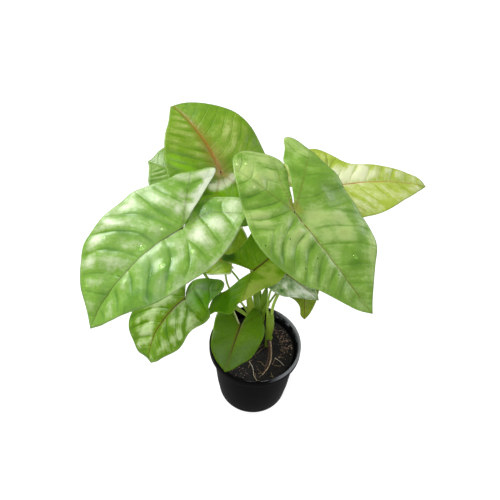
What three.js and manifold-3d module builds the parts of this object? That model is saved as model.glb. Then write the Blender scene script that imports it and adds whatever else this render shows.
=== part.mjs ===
// An arrowhead plant (Syngonium podophyllum) in its round plastic nursery pot.
// Millimetres, +Z up. The origin is the middle of the pot's underside, and -Y is the front.
// Eleven arrowhead leaves stand on petioles, which rise from three crowns rooted in the soil.

import * as THREE from 'three';
import { mergeVertices } from 'three/addons/utils/BufferGeometryUtils.js';
import Module from 'manifold-3d';

const wasm = await Module();
wasm.setup();

const DEG = Math.PI / 180;

// ---------------------------------------------------------------- driving dimensions

const GAP = 0.3; // between pieces that touch

const POT = {
  height: 78,
  rimRadius: 45,
  bandHeight: 8, // the smooth band under the rim
  bandDepth: 2.4, // how far the band stands out from the wall
  footRadius: 34.8,
  footBevel: 1.2,
  lipRadius: 1.2, // the rounded rim
  wall: 1.4,
  floor: 2.4,
  drainHoles: 5,
  drainRadius: 3.5,
  drainCircle: 22,
};
const POT_SEGMENTS = 48;
const STEM_SEGMENTS = 12;

const SOIL_TOP = 68;
const ROOTING_DEPTH = 12; // how deep the crowns stand in the soil

const CROWNS = {
  left: { at: [-5, 14], top: 98.2, radius: 4.2, topRadius: 5.2 },
  right: { at: [13, 4], top: 116.2, radius: 3.8, topRadius: 4.1 },
  back: { at: [4, 23], top: 98.2, radius: 4, topRadius: 4.9 },
};

const BLADE_THICKNESS = 0.7;
const BLADE_RINGS = 4; // rows of faces from the petiole's joint out to the margin
const MARGIN_STEPS = 3; // margin edges between two of the outline's points
const SECTION_WIDTH = 0.45; // share of the length over which a half reaches its full arch
const MARGIN_WAVES = 1.6; // waves of the margin along the midrib
const JOINT_AHEAD = 4; // the petiole meets the midrib this far ahead of the lobes' sinus
const PETIOLE_NECK = 4; // the petiole's last stretch, square to the blade
const PETIOLE_SIDES = 8;
const PETIOLE_STEP = 9; // length of a petiole's straight pieces

// A half leaf's outline, seen flat: how far it reaches from the joint, in hundredths of the
// leaf's length, at bearings counted from the tip. The first reach is the same on every leaf.
const BEARINGS = [7, 20, 40, 90, 140, 160];
const DRIP_TIP_REACH = 88;

// Each leaf: its joint, the way it points (heading turns left from +X, pitch lifts the tip, roll
// raises the left half), its length, how far it droops and sweeps left along the midrib, and
// its halves. A half has its reaches, how far its lobe is turned in towards the sinus, its fold
// up from the midrib, its arch down to the margin, its lobe's drop, and its margin's wave: the
// height in millimetres and the start in hundredths of a wave. Angles are in degrees.
const LEAVES = {
  front_left: {
    joint: [-66, 11, 221],
    heading: -143,
    pitch: -6,
    roll: -2,
    length: 117,
    droop: 55,
    sweep: 7,
    left: { reach: [70, 55, 38, 51, 30], turn: 36, fold: 6, arch: 25, drop: -8, wave: [2, -5] },
    right: { reach: [80, 66, 42, 51, 56], turn: -13, fold: 19, arch: 23, drop: 3, wave: [2, 50] },
    petiole: {
      crown: 'left',
      foot: [-6.4, 10.5],
      via: [[-20, 13, 117], [-37, 13.5, 138], [-49, 13, 162], [-60, 13, 198]],
      radius: 1.35,
    },
    colour: '#7f9a72',
  },
  front_right: {
    joint: [25, 30, 228],
    heading: -46,
    pitch: -23,
    roll: 2,
    length: 105,
    droop: 9,
    sweep: 4,
    left: { reach: [78, 68, 52, 69, 71], turn: -16, fold: 13, arch: 19, drop: 22, wave: [1, 35] },
    right: { reach: [68, 56, 43, 68, 50], turn: 46, fold: 5, arch: 11, drop: 10, wave: [1.5, 5] },
    petiole: {
      crown: 'right',
      foot: [14.8, 4.6],
      via: [[17, 11, 130], [24, 24, 145], [35, 37, 163], [37, 37, 188], [32, 33, 212]],
      radius: 1.35,
    },
    colour: '#5f8f4e',
  },
  back_left: {
    joint: [-40, 83, 221],
    heading: 122,
    pitch: 33,
    roll: 2,
    length: 90,
    droop: 40,
    sweep: 8,
    left: { reach: [77, 63, 54, 60, 57], turn: 9, fold: 12, arch: 22, drop: 28, wave: [1.5, 20] },
    right: { reach: [83, 71, 52, 58, 54], turn: 20, fold: 16, arch: 16, drop: 29, wave: [1.5, 60] },
    petiole: {
      crown: 'back',
      foot: [1.4, 23.6],
      via: [[-4, 46, 122], [-20, 76, 162], [-35, 88, 206]],
      radius: 1.35,
    },
    colour: '#5b9447',
  },
  right: {
    joint: [58, 103, 192],
    heading: 10,
    pitch: 11,
    roll: 3,
    length: 105,
    droop: 31,
    sweep: 0,
    left: { reach: [56, 37, 47, 56, 51], turn: 0, fold: 14, arch: 18, drop: 10, wave: [3, 35] },
    right: { reach: [72, 58, 45, 53, 50], turn: 0, fold: 11, arch: 23, drop: 10, wave: [2, 10] },
    petiole: {
      crown: 'back',
      foot: [5.2, 25.8],
      via: [[8, 36, 118], [26, 64, 148], [48, 93, 176]],
      radius: 1.35,
    },
    colour: '#9db77a',
  },
  left: {
    joint: [-63, 97, 192],
    heading: 148,
    pitch: 7,
    roll: -6,
    length: 63,
    droop: 18,
    sweep: 1,
    left: { reach: [78, 70, 51, 56, 52], turn: 0, fold: 11, arch: 22, drop: 10, wave: [2.5, 10] },
    right: { reach: [82, 59, 46, 56, 54], turn: 0, fold: 15, arch: 20, drop: 10, wave: [2, 40] },
    petiole: {
      crown: 'left',
      foot: [-7.6, 16.8],
      via: [[-17, 28, 106], [-29, 38, 115], [-36, 56, 136], [-52, 84, 172]],
      radius: 1,
    },
    colour: '#8fa883',
  },
  low_left: {
    joint: [-64, -11, 156],
    heading: -144,
    pitch: -17,
    roll: 7,
    length: 71,
    droop: 61,
    sweep: 13,
    left: { reach: [82, 65, 45, 51, 37], turn: 28, fold: 8, arch: 23, drop: 7, wave: [3.5, -5] },
    right: { reach: [94, 77, 52, 60, 59], turn: -37, fold: 17, arch: 16, drop: 9, wave: [2, 15] },
    petiole: {
      crown: 'left',
      foot: [-8.6, 13],
      via: [[-14, 16, 103], [-23, 19.5, 106], [-33, 20.5, 111], [-43, 14, 126]],
      radius: 1,
    },
    colour: '#8a9a58',
  },
  low_front: {
    joint: [-15, -4, 110],
    heading: -107,
    pitch: -14,
    roll: -2,
    length: 45,
    droop: 22,
    sweep: 1,
    left: { reach: [80, 69, 53, 51, 47], turn: 6, fold: 11, arch: 23, drop: 11, wave: [1, 0] },
    right: { reach: [84, 71, 56, 62, 56], turn: -23, fold: 12, arch: 20, drop: 10, wave: [1, 30] },
    petiole: {
      crown: null, // a young shoot with a hole of its own in the soil
      foot: [-7, 4],
      via: [[-6.5, 4, 84], [-9, 3, 99]],
      radius: 1,
    },
    colour: '#4f7d43',
  },
  middle: {
    joint: [-6, 14, 169],
    heading: 49,
    pitch: 0,
    roll: 3,
    length: 58,
    droop: 12,
    sweep: 4,
    left: { reach: [85, 80, 41, 50, 47], turn: -40, fold: 19, arch: 15, drop: 6, wave: [2, 35] },
    right: { reach: [72, 57, 41, 62, 100], turn: 29, fold: 17, arch: 20, drop: 26, wave: [2, 60] },
    petiole: {
      crown: 'left',
      foot: [-5, 14],
      via: [[-7, 16, 118], [-9, 16, 142]],
      radius: 1.6,
    },
    colour: '#5d8a4b',
  },
  inner_right: {
    joint: [23, 20, 160],
    heading: -26,
    pitch: -14,
    roll: 0,
    length: 39,
    droop: 22,
    sweep: 0,
    left: { reach: [67, 49, 33, 43, 43], turn: -10, fold: 10, arch: 22, drop: 8, wave: [1, 0] },
    right: { reach: [74, 61, 61, 54, 38], turn: 5, fold: 10, arch: 23, drop: 8, wave: [1, 20] },
    petiole: {
      crown: 'right',
      foot: [11.4, 3.6],
      via: [[10.5, 9, 124], [12, 17, 137], [19, 20, 150]],
      radius: 1,
    },
    colour: '#8ba07d',
  },
  inner_left: {
    joint: [-29, 39, 151],
    heading: 168,
    pitch: -1,
    roll: -11,
    length: 44,
    droop: 21,
    sweep: 1,
    left: { reach: [73, 59, 34, 34, 36], turn: 0, fold: 10, arch: 26, drop: 10, wave: [1.5, 25] },
    right: { reach: [75, 70, 80, 57, 59], turn: 0, fold: 18, arch: 5, drop: 10, wave: [1.5, 40] },
    petiole: {
      crown: 'left',
      foot: [-3.4, 17.5],
      via: [[-9, 26, 110], [-19, 36, 128]],
      radius: 1,
    },
    colour: '#8b8448',
  },
  low_right: {
    joint: [41, 44, 141],
    heading: -83,
    pitch: -24,
    roll: -2,
    length: 49,
    droop: 33,
    sweep: 0,
    left: { reach: [67, 47, 35, 41, 39], turn: 0, fold: 12, arch: 22, drop: 10, wave: [1, 30] },
    right: { reach: [65, 59, 41, 43, 41], turn: 0, fold: 12, arch: 22, drop: 10, wave: [1, 0] },
    petiole: {
      crown: 'back',
      foot: [6.6, 21.8],
      via: [[13, 28, 110], [25, 39, 125], [37, 45, 135]],
      radius: 1,
    },
    colour: '#76864a',
  },
};

// The old stem leaves the right crown and lies down over the soil. The roots lie on top of it.
const OLD_STEM = {
  radius: 2.2,
  route: [[12.9, -0.4, 82.5], [13.1, -4, 82.2], [14, -10, 76], [13, -17, 71.6], [10, -26, 70.5]],
};
const ROOTS = {
  root_front: { radius: 0.6, route: [[-5, -16, 68.9], [-1, -24, 69.2], [0, -31, 68.9], [3, -37, 69]] },
  root_right: { radius: 0.6, route: [[20, -11, 68.9], [24, -14, 69.3], [29, -19, 68.9]] },
};

// ---------------------------------------------------------------- finishes

function finish(colour, roughness) {
  return new THREE.MeshStandardMaterial({ color: colour, roughness, metalness: 0 });
}

const BLACK_PLASTIC = finish('#141516', 0.35);
const POTTING_SOIL = finish('#2b211b', 0.95);
const SHEATH = finish('#9aa862', 0.5);
const STALK = finish('#8fa55a', 0.45);
const DRY_STEM = finish('#6b4a30', 0.8);
const PALE_ROOT = finish('#d9cfbd', 0.7);

// ---------------------------------------------------------------- shared helpers

// Positions alone, with shared corners merged, are what makes a mesh a solid.
function bare(geometry) {
  geometry.deleteAttribute('normal');
  geometry.deleteAttribute('uv');
  return mergeVertices(geometry);
}

function toSolid(geometry) {
  const closed = bare(geometry);
  return new wasm.Manifold(
    new wasm.Mesh({
      numProp: 3,
      vertProperties: new Float32Array(closed.getAttribute('position').array),
      triVerts: new Uint32Array(closed.index.array),
    }),
  );
}

function toGeometry(solid) {
  const mesh = solid.getMesh();
  const geometry = new THREE.BufferGeometry();
  geometry.setAttribute('position', new THREE.BufferAttribute(mesh.vertProperties, 3));
  geometry.setIndex(new THREE.BufferAttribute(mesh.triVerts, 1));
  geometry.computeVertexNormals();
  return geometry;
}

// A profile of [radius, height] pairs, turned about the Z axis.
function turned(profile, segments) {
  const points = profile.map(([radius, height]) => new THREE.Vector2(radius, height));
  return new THREE.LatheGeometry(points, segments).rotateX(Math.PI / 2);
}

// A plain round post from one height to another, for cutting holes.
function post([x, y], radius, bottom, top) {
  const geometry = new THREE.CylinderGeometry(radius, radius, top - bottom, STEM_SEGMENTS);
  return geometry.rotateX(Math.PI / 2).translate(x, y, (bottom + top) / 2);
}

function tube(points, radius) {
  const path = new THREE.CatmullRomCurve3(points);
  const section = new THREE.Shape();
  for (let corner = 0; corner < PETIOLE_SIDES; corner += 1) {
    const angle = (corner / PETIOLE_SIDES) * 2 * Math.PI;
    const place = [radius * Math.cos(angle), radius * Math.sin(angle)];
    if (corner === 0) section.moveTo(...place);
    else section.lineTo(...place);
  }
  const steps = Math.max(4, Math.round(path.getLength() / PETIOLE_STEP));
  return new THREE.ExtrudeGeometry(section, { steps, extrudePath: path });
}

// How far a line of even curvature runs ahead and aside over a distance.
function arc(curvature, distance) {
  if (Math.abs(curvature) < 1e-6) return [distance, 0];
  const angle = curvature * distance;
  return [Math.sin(angle) / curvature, (1 - Math.cos(angle)) / curvature];
}

// ---------------------------------------------------------------- leaf blades

// A half's outline in the blade's flat plan: from the tip round the lobe, and back to the joint
// along the sinus, which is the curve's last stretch.
function halfOutline(leaf, side) {
  const half = side > 0 ? leaf.left : leaf.right;
  const reaches = [DRIP_TIP_REACH, ...half.reach];
  const points = [new THREE.Vector2(leaf.length, 0)];
  BEARINGS.forEach((bearing, index) => {
    const lobeShare = Math.max(0, bearing - 90) / 70;
    const angle = (bearing + half.turn * lobeShare) * DEG;
    const reach = (leaf.length * reaches[index]) / 100;
    points.push(new THREE.Vector2(reach * Math.cos(angle), side * reach * Math.sin(angle)));
  });
  points.push(new THREE.Vector2(0, 0));
  return new THREE.SplineCurve(points);
}

// A half's rays from the joint, each a row of places for the rings: straight ones to the margin
// from the tip to the lobe's end, and a last one that follows the sinus.
function halfRays(leaf, side) {
  const outline = halfOutline(leaf, side);
  const stretches = outline.points.length - 1;
  const marginEnds = outline.getPoints(MARGIN_STEPS * stretches).slice(0, -MARGIN_STEPS - 1);
  const rays = marginEnds.map((end) => (share) => end.clone().multiplyScalar(share));
  rays.push((share) => outline.getPoint(1 - share / stretches));
  return rays.map((place) => ({ side, place }));
}

// Takes a place in the flat plan to its place on the bent blade. The half folds up from the
// midrib, arches over and waves, then the blade sweeps sideways and droops along its length.
function bladePoint(leaf, side, flat, lift) {
  const half = side > 0 ? leaf.left : leaf.right;
  const out = flat.y * side;
  const width = SECTION_WIDTH * leaf.length;
  const fold = half.fold * DEG;
  const arch = (half.arch * DEG) / width;
  const [run, fall] = arc(arch, out);
  const lean = out === 0 ? 0 : fold - arch * out;
  const [waveHeight, waveStart] = half.wave;
  const wave = Math.sin(2 * Math.PI * ((MARGIN_WAVES * flat.x) / leaf.length + waveStart / 100));
  const across = run * Math.cos(fold) + fall * Math.sin(fold) - lift * Math.sin(lean);
  const ripple = waveHeight * (out / width) ** 2 * wave;
  const up = run * Math.sin(fold) - fall * Math.cos(fold) + ripple + lift * Math.cos(lean);

  const sweep = flat.x > 0 ? (leaf.sweep * DEG) / leaf.length : 0;
  const [ahead, aside] = arc(sweep, flat.x);
  const turn = sweep * flat.x;
  const x = ahead - side * across * Math.sin(turn);
  const y = aside + side * across * Math.cos(turn);

  const droop = x > 0 ? leaf.droop / leaf.length : half.drop / (leaf.length / 2);
  const [forward, sink] = arc(droop * DEG, x);
  const tilt = droop * DEG * x;
  return new THREE.Vector3(forward + up * Math.sin(tilt), y, up * Math.cos(tilt) - sink);
}

// A blade is a fan of quads round the joint, counter-clockwise from the right lobe to the left,
// the same on both faces, with a wall round the margin and down both edges of the sinus.
function bladeGeometry(leaf) {
  const rays = [...halfRays(leaf, -1).slice(1).reverse(), ...halfRays(leaf, 1)];
  const corners = [];
  for (const lift of [BLADE_THICKNESS / 2, -BLADE_THICKNESS / 2]) {
    corners.push(bladePoint(leaf, 1, new THREE.Vector2(0, 0), lift));
    for (let ring = 1; ring <= BLADE_RINGS; ring += 1) {
      for (const { side, place } of rays) {
        corners.push(bladePoint(leaf, side, place(ring / BLADE_RINGS), lift));
      }
    }
  }
  const faceSize = corners.length / 2;
  const at = (ring, ray) => (ring === 0 ? 0 : 1 + (ring - 1) * rays.length + ray);
  const triangles = [];
  const bothFaces = (a, b, c) => {
    triangles.push(a, b, c);
    triangles.push(a + faceSize, c + faceSize, b + faceSize);
  };
  for (let ray = 0; ray < rays.length - 1; ray += 1) {
    for (let ring = 0; ring < BLADE_RINGS; ring += 1) {
      bothFaces(at(ring, ray), at(ring + 1, ray), at(ring + 1, ray + 1));
      if (ring > 0) bothFaces(at(ring, ray), at(ring + 1, ray + 1), at(ring, ray + 1));
    }
  }
  const lastRay = rays.length - 1;
  const rim = [];
  for (let ring = 0; ring < BLADE_RINGS; ring += 1) rim.push(at(ring, 0));
  for (let ray = 0; ray < lastRay; ray += 1) rim.push(at(BLADE_RINGS, ray));
  for (let ring = BLADE_RINGS; ring > 0; ring -= 1) rim.push(at(ring, lastRay));
  rim.forEach((from, index) => {
    const to = rim[(index + 1) % rim.length];
    triangles.push(from + faceSize, to + faceSize, to);
    triangles.push(from + faceSize, to, from);
  });
  const geometry = new THREE.BufferGeometry().setFromPoints(corners);
  geometry.setIndex(triangles);
  geometry.computeVertexNormals();
  return geometry;
}

function makeBlade(name, leaf) {
  const blade = new THREE.Mesh(bladeGeometry(leaf), finish(leaf.colour, 0.4));
  blade.name = `blade_${name}`;
  blade.position.set(...leaf.joint);
  blade.rotation.set(leaf.roll * DEG, -leaf.pitch * DEG, leaf.heading * DEG, 'ZYX');
  blade.updateMatrixWorld();
  return blade;
}

// ---------------------------------------------------------------- petioles

// A petiole stands upright on its crown, or in the soil, and ends square under its blade.
function makePetiole(name, leaf, blade) {
  const { crown, foot, via, radius } = leaf.petiole;
  const footHeight = crown ? CROWNS[crown].top + GAP : SOIL_TOP - ROOTING_DEPTH + GAP;
  const uprightTo = crown ? footHeight + 3 : SOIL_TOP + 3;
  const points = [[...foot, footHeight], [...foot, uprightTo], ...via];
  const route = points.map((point) => new THREE.Vector3(...point));
  const joint = new THREE.Vector2(0, 0);
  const firstRing = new THREE.Vector2(leaf.length / BLADE_RINGS, 0);
  for (const depth of [PETIOLE_NECK, 0]) {
    const lift = -BLADE_THICKNESS / 2 - GAP - depth;
    const behind = bladePoint(leaf, 1, joint, lift);
    const ahead = bladePoint(leaf, 1, firstRing, lift);
    route.push(blade.localToWorld(behind.lerp(ahead, JOINT_AHEAD / firstRing.x)));
  }
  const petiole = new THREE.Mesh(tube(route, radius), STALK);
  petiole.name = `petiole_${name}`;
  return petiole;
}

// ---------------------------------------------------------------- crowns, old stem and roots

// A crown is straight in its hole and widens above the soil, where the sheaths part.
function makeCrown(name, { at, top, radius, topRadius }) {
  const bottom = SOIL_TOP - ROOTING_DEPTH + GAP;
  const profile = [
    [0, bottom],
    [radius, bottom],
    [radius, SOIL_TOP],
    [topRadius, top],
    [0, top],
  ];
  const crown = new THREE.Mesh(turned(profile, STEM_SEGMENTS), SHEATH);
  crown.name = `crown_${name}`;
  crown.position.set(...at, 0);
  return crown;
}

function makeStrand(name, { radius, route }, material) {
  const points = route.map((point) => new THREE.Vector3(...point));
  const strand = new THREE.Mesh(tube(points, radius), material);
  strand.name = name;
  return strand;
}

// ---------------------------------------------------------------- pot and soil

// The pot's inner wall and the soil's side are the same slanting line.
function innerRadius(height) {
  const wallTop = POT.height - POT.bandHeight;
  const outer = POT.footRadius + ((POT.rimRadius - POT.bandDepth - POT.footRadius) * height) / wallTop;
  return outer - POT.wall;
}

function makePot() {
  const { height, rimRadius, footRadius, footBevel, lipRadius, wall, floor } = POT;
  const bandBottom = height - POT.bandHeight;
  const roundedRim = [0, 45, 90, 135, 180].map((angle) => [
    rimRadius - lipRadius + lipRadius * Math.cos(angle * DEG),
    height - lipRadius + lipRadius * Math.sin(angle * DEG),
  ]);
  const profile = [
    [0, 0],
    [footRadius - footBevel, 0],
    [footRadius, footBevel],
    [rimRadius - POT.bandDepth, bandBottom - wall / 2],
    [rimRadius, bandBottom],
    ...roundedRim,
    [rimRadius - 2 * lipRadius, bandBottom + wall / 2],
    [innerRadius(bandBottom), bandBottom - wall / 2],
    [innerRadius(floor + footBevel), floor + footBevel],
    [innerRadius(floor) - footBevel, floor],
    [0, floor],
  ];
  let solid = toSolid(turned(profile, POT_SEGMENTS));
  for (let hole = 0; hole < POT.drainHoles; hole += 1) {
    const angle = (hole / POT.drainHoles) * 2 * Math.PI;
    const middle = [POT.drainCircle * Math.cos(angle), POT.drainCircle * Math.sin(angle)];
    solid = solid.subtract(toSolid(post(middle, POT.drainRadius, -wall, floor + wall)));
  }
  const pot = new THREE.Mesh(toGeometry(solid), BLACK_PLASTIC);
  pot.name = 'pot';
  return pot;
}

function makeSoil() {
  const bottom = POT.floor + GAP;
  const bevel = POT.footBevel;
  const edge = (height) => innerRadius(height) - GAP;
  const profile = [
    [0, bottom],
    [edge(bottom) - bevel, bottom],
    [edge(bottom + bevel), bottom + bevel],
    [edge(SOIL_TOP), SOIL_TOP - bevel],
    [edge(SOIL_TOP) - bevel, SOIL_TOP],
    [0, SOIL_TOP],
  ];
  let solid = toSolid(turned(profile, POT_SEGMENTS));
  const holeBottom = SOIL_TOP - ROOTING_DEPTH;
  const holes = Object.values(CROWNS).map(({ at, radius }) => ({ at, radius }));
  for (const { petiole } of Object.values(LEAVES)) {
    if (!petiole.crown) holes.push({ at: petiole.foot, radius: petiole.radius });
  }
  for (const { at, radius } of holes) {
    solid = solid.subtract(toSolid(post(at, radius + GAP, holeBottom, SOIL_TOP + 1)));
  }
  const soil = new THREE.Mesh(toGeometry(solid), POTTING_SOIL);
  soil.name = 'soil';
  return soil;
}

// ---------------------------------------------------------------- assembly

const plant = new THREE.Group();
plant.add(makePot(), makeSoil());
for (const [name, crown] of Object.entries(CROWNS)) plant.add(makeCrown(name, crown));
plant.add(makeStrand('old_stem', OLD_STEM, DRY_STEM));
for (const [name, root] of Object.entries(ROOTS)) plant.add(makeStrand(name, root, PALE_ROOT));
for (const [name, leaf] of Object.entries(LEAVES)) {
  const blade = makeBlade(name, leaf);
  plant.add(blade, makePetiole(name, leaf, blade));
}

export default plant;
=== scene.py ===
# %% [markdown]
# # An arrowhead plant in its nursery pot
#
# This lesson dresses a young arrowhead plant, a climbing aroid sold as a foliage house plant. Its
# frame is already made: a pot, soil, three crowns, eleven petioles and eleven blades of real size.
# Here each plain solid gets the fine piece that the eye expects. A leaf is not flat green: it has
# a sunken midrib, side ribs with the blade quilted between them, pale patches and a waxy skin.
#
# We load the frame first, because every place below is counted from it.

# %% Load the frame
import math
import random

import bmesh
import bpy
from mathutils import Matrix, Vector, noise


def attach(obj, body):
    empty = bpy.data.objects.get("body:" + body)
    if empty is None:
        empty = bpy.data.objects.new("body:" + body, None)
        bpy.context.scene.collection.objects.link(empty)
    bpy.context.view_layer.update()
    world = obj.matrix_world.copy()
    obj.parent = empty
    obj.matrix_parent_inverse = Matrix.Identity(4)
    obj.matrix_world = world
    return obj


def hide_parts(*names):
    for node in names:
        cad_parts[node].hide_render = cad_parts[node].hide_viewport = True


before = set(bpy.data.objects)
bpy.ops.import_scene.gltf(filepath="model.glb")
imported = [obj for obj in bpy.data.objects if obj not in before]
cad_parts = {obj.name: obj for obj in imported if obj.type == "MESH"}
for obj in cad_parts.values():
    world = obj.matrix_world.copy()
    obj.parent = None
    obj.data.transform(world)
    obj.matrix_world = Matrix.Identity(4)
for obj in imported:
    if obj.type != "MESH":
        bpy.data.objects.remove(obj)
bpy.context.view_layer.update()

# %% [markdown]
# ## Shared helpers
#
# Sizes are written in millimetres, as a grower would measure them, and turned to metres once, when
# a mesh is finished. Colours are written as the hex values of a paint chart. Blender's shaders
# want linear light, so one function converts them.

# %% Units, colours and nodes
MM = 0.001


def linear(colour):
    """An sRGB hex colour such as "#78AA50" as linear red, green, blue and alpha."""
    parts = [int(colour[i : i + 2], 16) / 255 for i in (1, 3, 5)]
    return (*[p / 12.92 if p <= 0.04045 else ((p + 0.055) / 1.055) ** 2.4 for p in parts], 1.0)


def add(tree, kind, inputs=None, **settings):
    """Adds one shader node. An input is a value, an output to link, or a node for its first one."""
    made = tree.nodes.new(f"ShaderNode{kind}")
    for name, value in settings.items():
        setattr(made, name, value)
    for key, value in (inputs or {}).items():
        if isinstance(value, bpy.types.Node):
            value = value.outputs[0]
        if isinstance(value, bpy.types.NodeSocket):
            tree.links.new(value, made.inputs[key])
        else:
            made.inputs[key].default_value = value
    return made


def new_material(name):
    """An empty material and its node tree."""
    material = bpy.data.materials.new(name)
    material.use_nodes = True
    material.node_tree.nodes.clear()
    return material, material.node_tree


# %% [markdown]
# A piece is finished the same way each time: its faces are turned outwards, its bmesh becomes an
# object at the origin, it gets a material and smooth shading, it rides on the plant's one body, and
# the plain nodes that it stands for are hidden.

# %% Turn a bmesh into a finished piece
def finish_piece(bm, name, material, slot, nodes=(), smooth=True):
    """The bmesh as an object, which takes the place of the plain nodes that are named."""
    if smooth:  # the rough lumps already face outwards
        bmesh.ops.recalc_face_normals(bm, faces=bm.faces)
    bmesh.ops.scale(bm, vec=(MM, MM, MM), verts=bm.verts)
    mesh = bpy.data.meshes.new(name)
    bm.to_mesh(mesh)
    bm.free()
    if smooth:
        mesh.shade_smooth()
    else:
        mesh.shade_flat()
    mesh.materials.append(material)
    piece = bpy.data.objects.new(name, mesh)
    bpy.context.scene.collection.objects.link(piece)
    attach(piece, "root")
    if nodes:
        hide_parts(*nodes)
    print(f"{name}: {len(mesh.polygons)} faces")
    return piece


# %% [markdown]
# ## The leaves' plan
#
# Every leaf grows from one recipe, the same as in the frame: the outline is a smooth curve through
# a few reaches from the joint, where the petiole meets the blade, and the flat outline is then
# folded, arched, waved, swept and drooped. Repeating the frame's own values here means that the
# fine blade lies exactly where the plain one does.

# %% The shape of each leaf
BEARINGS = (7, 20, 40, 90, 140, 160)  # degrees off the midrib at which the margin's reach is given
LOBE_BEARING = 90  # past this bearing the margin belongs to a lobe, which may turn aside
DRIP_TIP_REACH = 88  # in hundredths of the length, at the first bearing
SECTION_WIDTH = 0.45  # half width, in lengths, at which the arch and the wave are given
MARGIN_WAVES = 1.6  # waves in one length of the leaf
JOINT_AHEAD = 4  # the petiole ends this far ahead of the joint


def half(reach, turn, fold, arch, drop, wave):
    """Half a leaf: its reaches in hundredths of the length, then the turn of its lobe, its fold, its
    arch and its lobe's drop in degrees, and its wave: a height, and a start in hundredths."""
    return dict(reach=reach, turn=turn, fold=fold, arch=arch, drop=drop, wave=wave)


# Each leaf: its joint, how it is turned there, its length in millimetres, how far it droops and
# sweeps aside in degrees, its drip tip's reach where that is its own, and its two halves
LEAVES = {
    "front_left": dict(
        joint=(-66, 11, 221), heading=-143, pitch=-6, roll=-2, length=117, droop=55, sweep=7,
        left=half((70, 55, 38, 51, 30), 36, 6, 25, -8, (2, -5)),
        right=half((80, 66, 42, 51, 56), -13, 19, 23, 3, (2, 50)),
    ),
    "front_right": dict(
        joint=(25, 30, 228), heading=-46, pitch=-23, roll=2, length=105, droop=9, sweep=4,
        left=half((78, 68, 52, 69, 71), -16, 13, 19, 22, (1, 35)),
        right=half((68, 56, 43, 68, 50), 46, 5, 11, 10, (1.5, 5)),
    ),
    "back_left": dict(
        joint=(-40, 83, 221), heading=122, pitch=33, roll=2, length=90, droop=40, sweep=8, tip=95,
        left=half((77, 63, 54, 60, 57), 9, 12, 22, 28, (1.5, 20)),
        right=half((83, 71, 52, 58, 54), 20, 16, 16, 29, (1.5, 60)),
    ),
    "right": dict(
        joint=(58, 103, 192), heading=10, pitch=11, roll=3, length=105, droop=31, sweep=0,
        left=half((56, 37, 47, 56, 51), 0, 14, 18, 10, (3, 35)),
        right=half((72, 58, 45, 53, 50), 0, 11, 23, 10, (2, 10)),
    ),
    "left": dict(
        joint=(-63, 97, 192), heading=148, pitch=7, roll=-6, length=63, droop=18, sweep=1,
        left=half((78, 70, 51, 56, 52), 0, 11, 22, 10, (2.5, 10)),
        right=half((82, 59, 46, 56, 54), 0, 15, 20, 10, (2, 40)),
    ),
    "low_left": dict(
        joint=(-64, -11, 156), heading=-144, pitch=-17, roll=7, length=71, droop=61, sweep=13, tip=93,
        left=half((82, 65, 45, 51, 37), 28, 8, 23, 7, (3.5, -5)),
        right=half((94, 77, 52, 60, 59), -37, 17, 16, 9, (2, 15)),
    ),
    "low_front": dict(
        joint=(-15, -4, 110), heading=-107, pitch=-14, roll=-2, length=45, droop=22, sweep=1, tip=93,
        left=half((80, 69, 53, 51, 47), 6, 11, 23, 11, (1, 0)),
        right=half((84, 71, 56, 62, 56), -23, 12, 20, 10, (1, 30)),
    ),
    "middle": dict(
        joint=(-6, 14, 169), heading=49, pitch=0, roll=3, length=58, droop=12, sweep=4,
        left=half((85, 80, 41, 50, 47), -40, 19, 15, 6, (2, 35)),
        right=half((72, 57, 41, 62, 100), 29, 17, 20, 26, (2, 60)),
    ),
    "inner_right": dict(
        joint=(23, 20, 160), heading=-26, pitch=-14, roll=0, length=39, droop=22, sweep=0,
        left=half((67, 49, 33, 43, 43), -10, 10, 22, 8, (1, 0)),
        right=half((74, 61, 61, 54, 38), 5, 10, 23, 8, (1, 20)),
    ),
    "inner_left": dict(
        joint=(-29, 39, 151), heading=168, pitch=-1, roll=-11, length=44, droop=21, sweep=1,
        left=half((73, 59, 34, 34, 36), 0, 10, 26, 10, (1.5, 25)),
        right=half((75, 70, 80, 57, 59), 0, 18, 5, 10, (1.5, 40)),
    ),
    "low_right": dict(
        joint=(41, 44, 141), heading=-83, pitch=-24, roll=-2, length=49, droop=33, sweep=0,
        left=half((67, 47, 35, 41, 39), 0, 12, 22, 10, (1, 30)),
        right=half((65, 59, 41, 43, 41), 0, 12, 22, 10, (1, 0)),
    ),
}


# %% The outline of half a leaf
def smooth_curve(points, t, even=True):
    """The place at t, from 0 to 1, on a smooth curve through points. Uneven ones don't overshoot."""
    place = t * (len(points) - 1)
    start = min(int(place), len(points) - 2)
    u = place - start
    b, c = points[start], points[start + 1]
    a = points[start - 1] if start else (b if even else 2 * b - c)
    d = points[start + 2] if start + 2 < len(points) else (c if even else 2 * c - b)
    gaps = [1.0 if even else max(1e-4, (q - p).length) ** 0.5 for p, q in ((a, b), (b, c), (c, d))]
    pull_b = ((b - a) / gaps[0] - (c - a) / (gaps[0] + gaps[1]) + (c - b) / gaps[1]) * gaps[1]
    pull_c = ((c - b) / gaps[1] - (d - b) / (gaps[1] + gaps[2]) + (d - c) / gaps[2]) * gaps[1]
    bend = (2 * b - 2 * c + pull_b + pull_c) * u**3
    return bend + (-3 * b + 3 * c - 2 * pull_b - pull_c) * u**2 + pull_b * u + b


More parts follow.
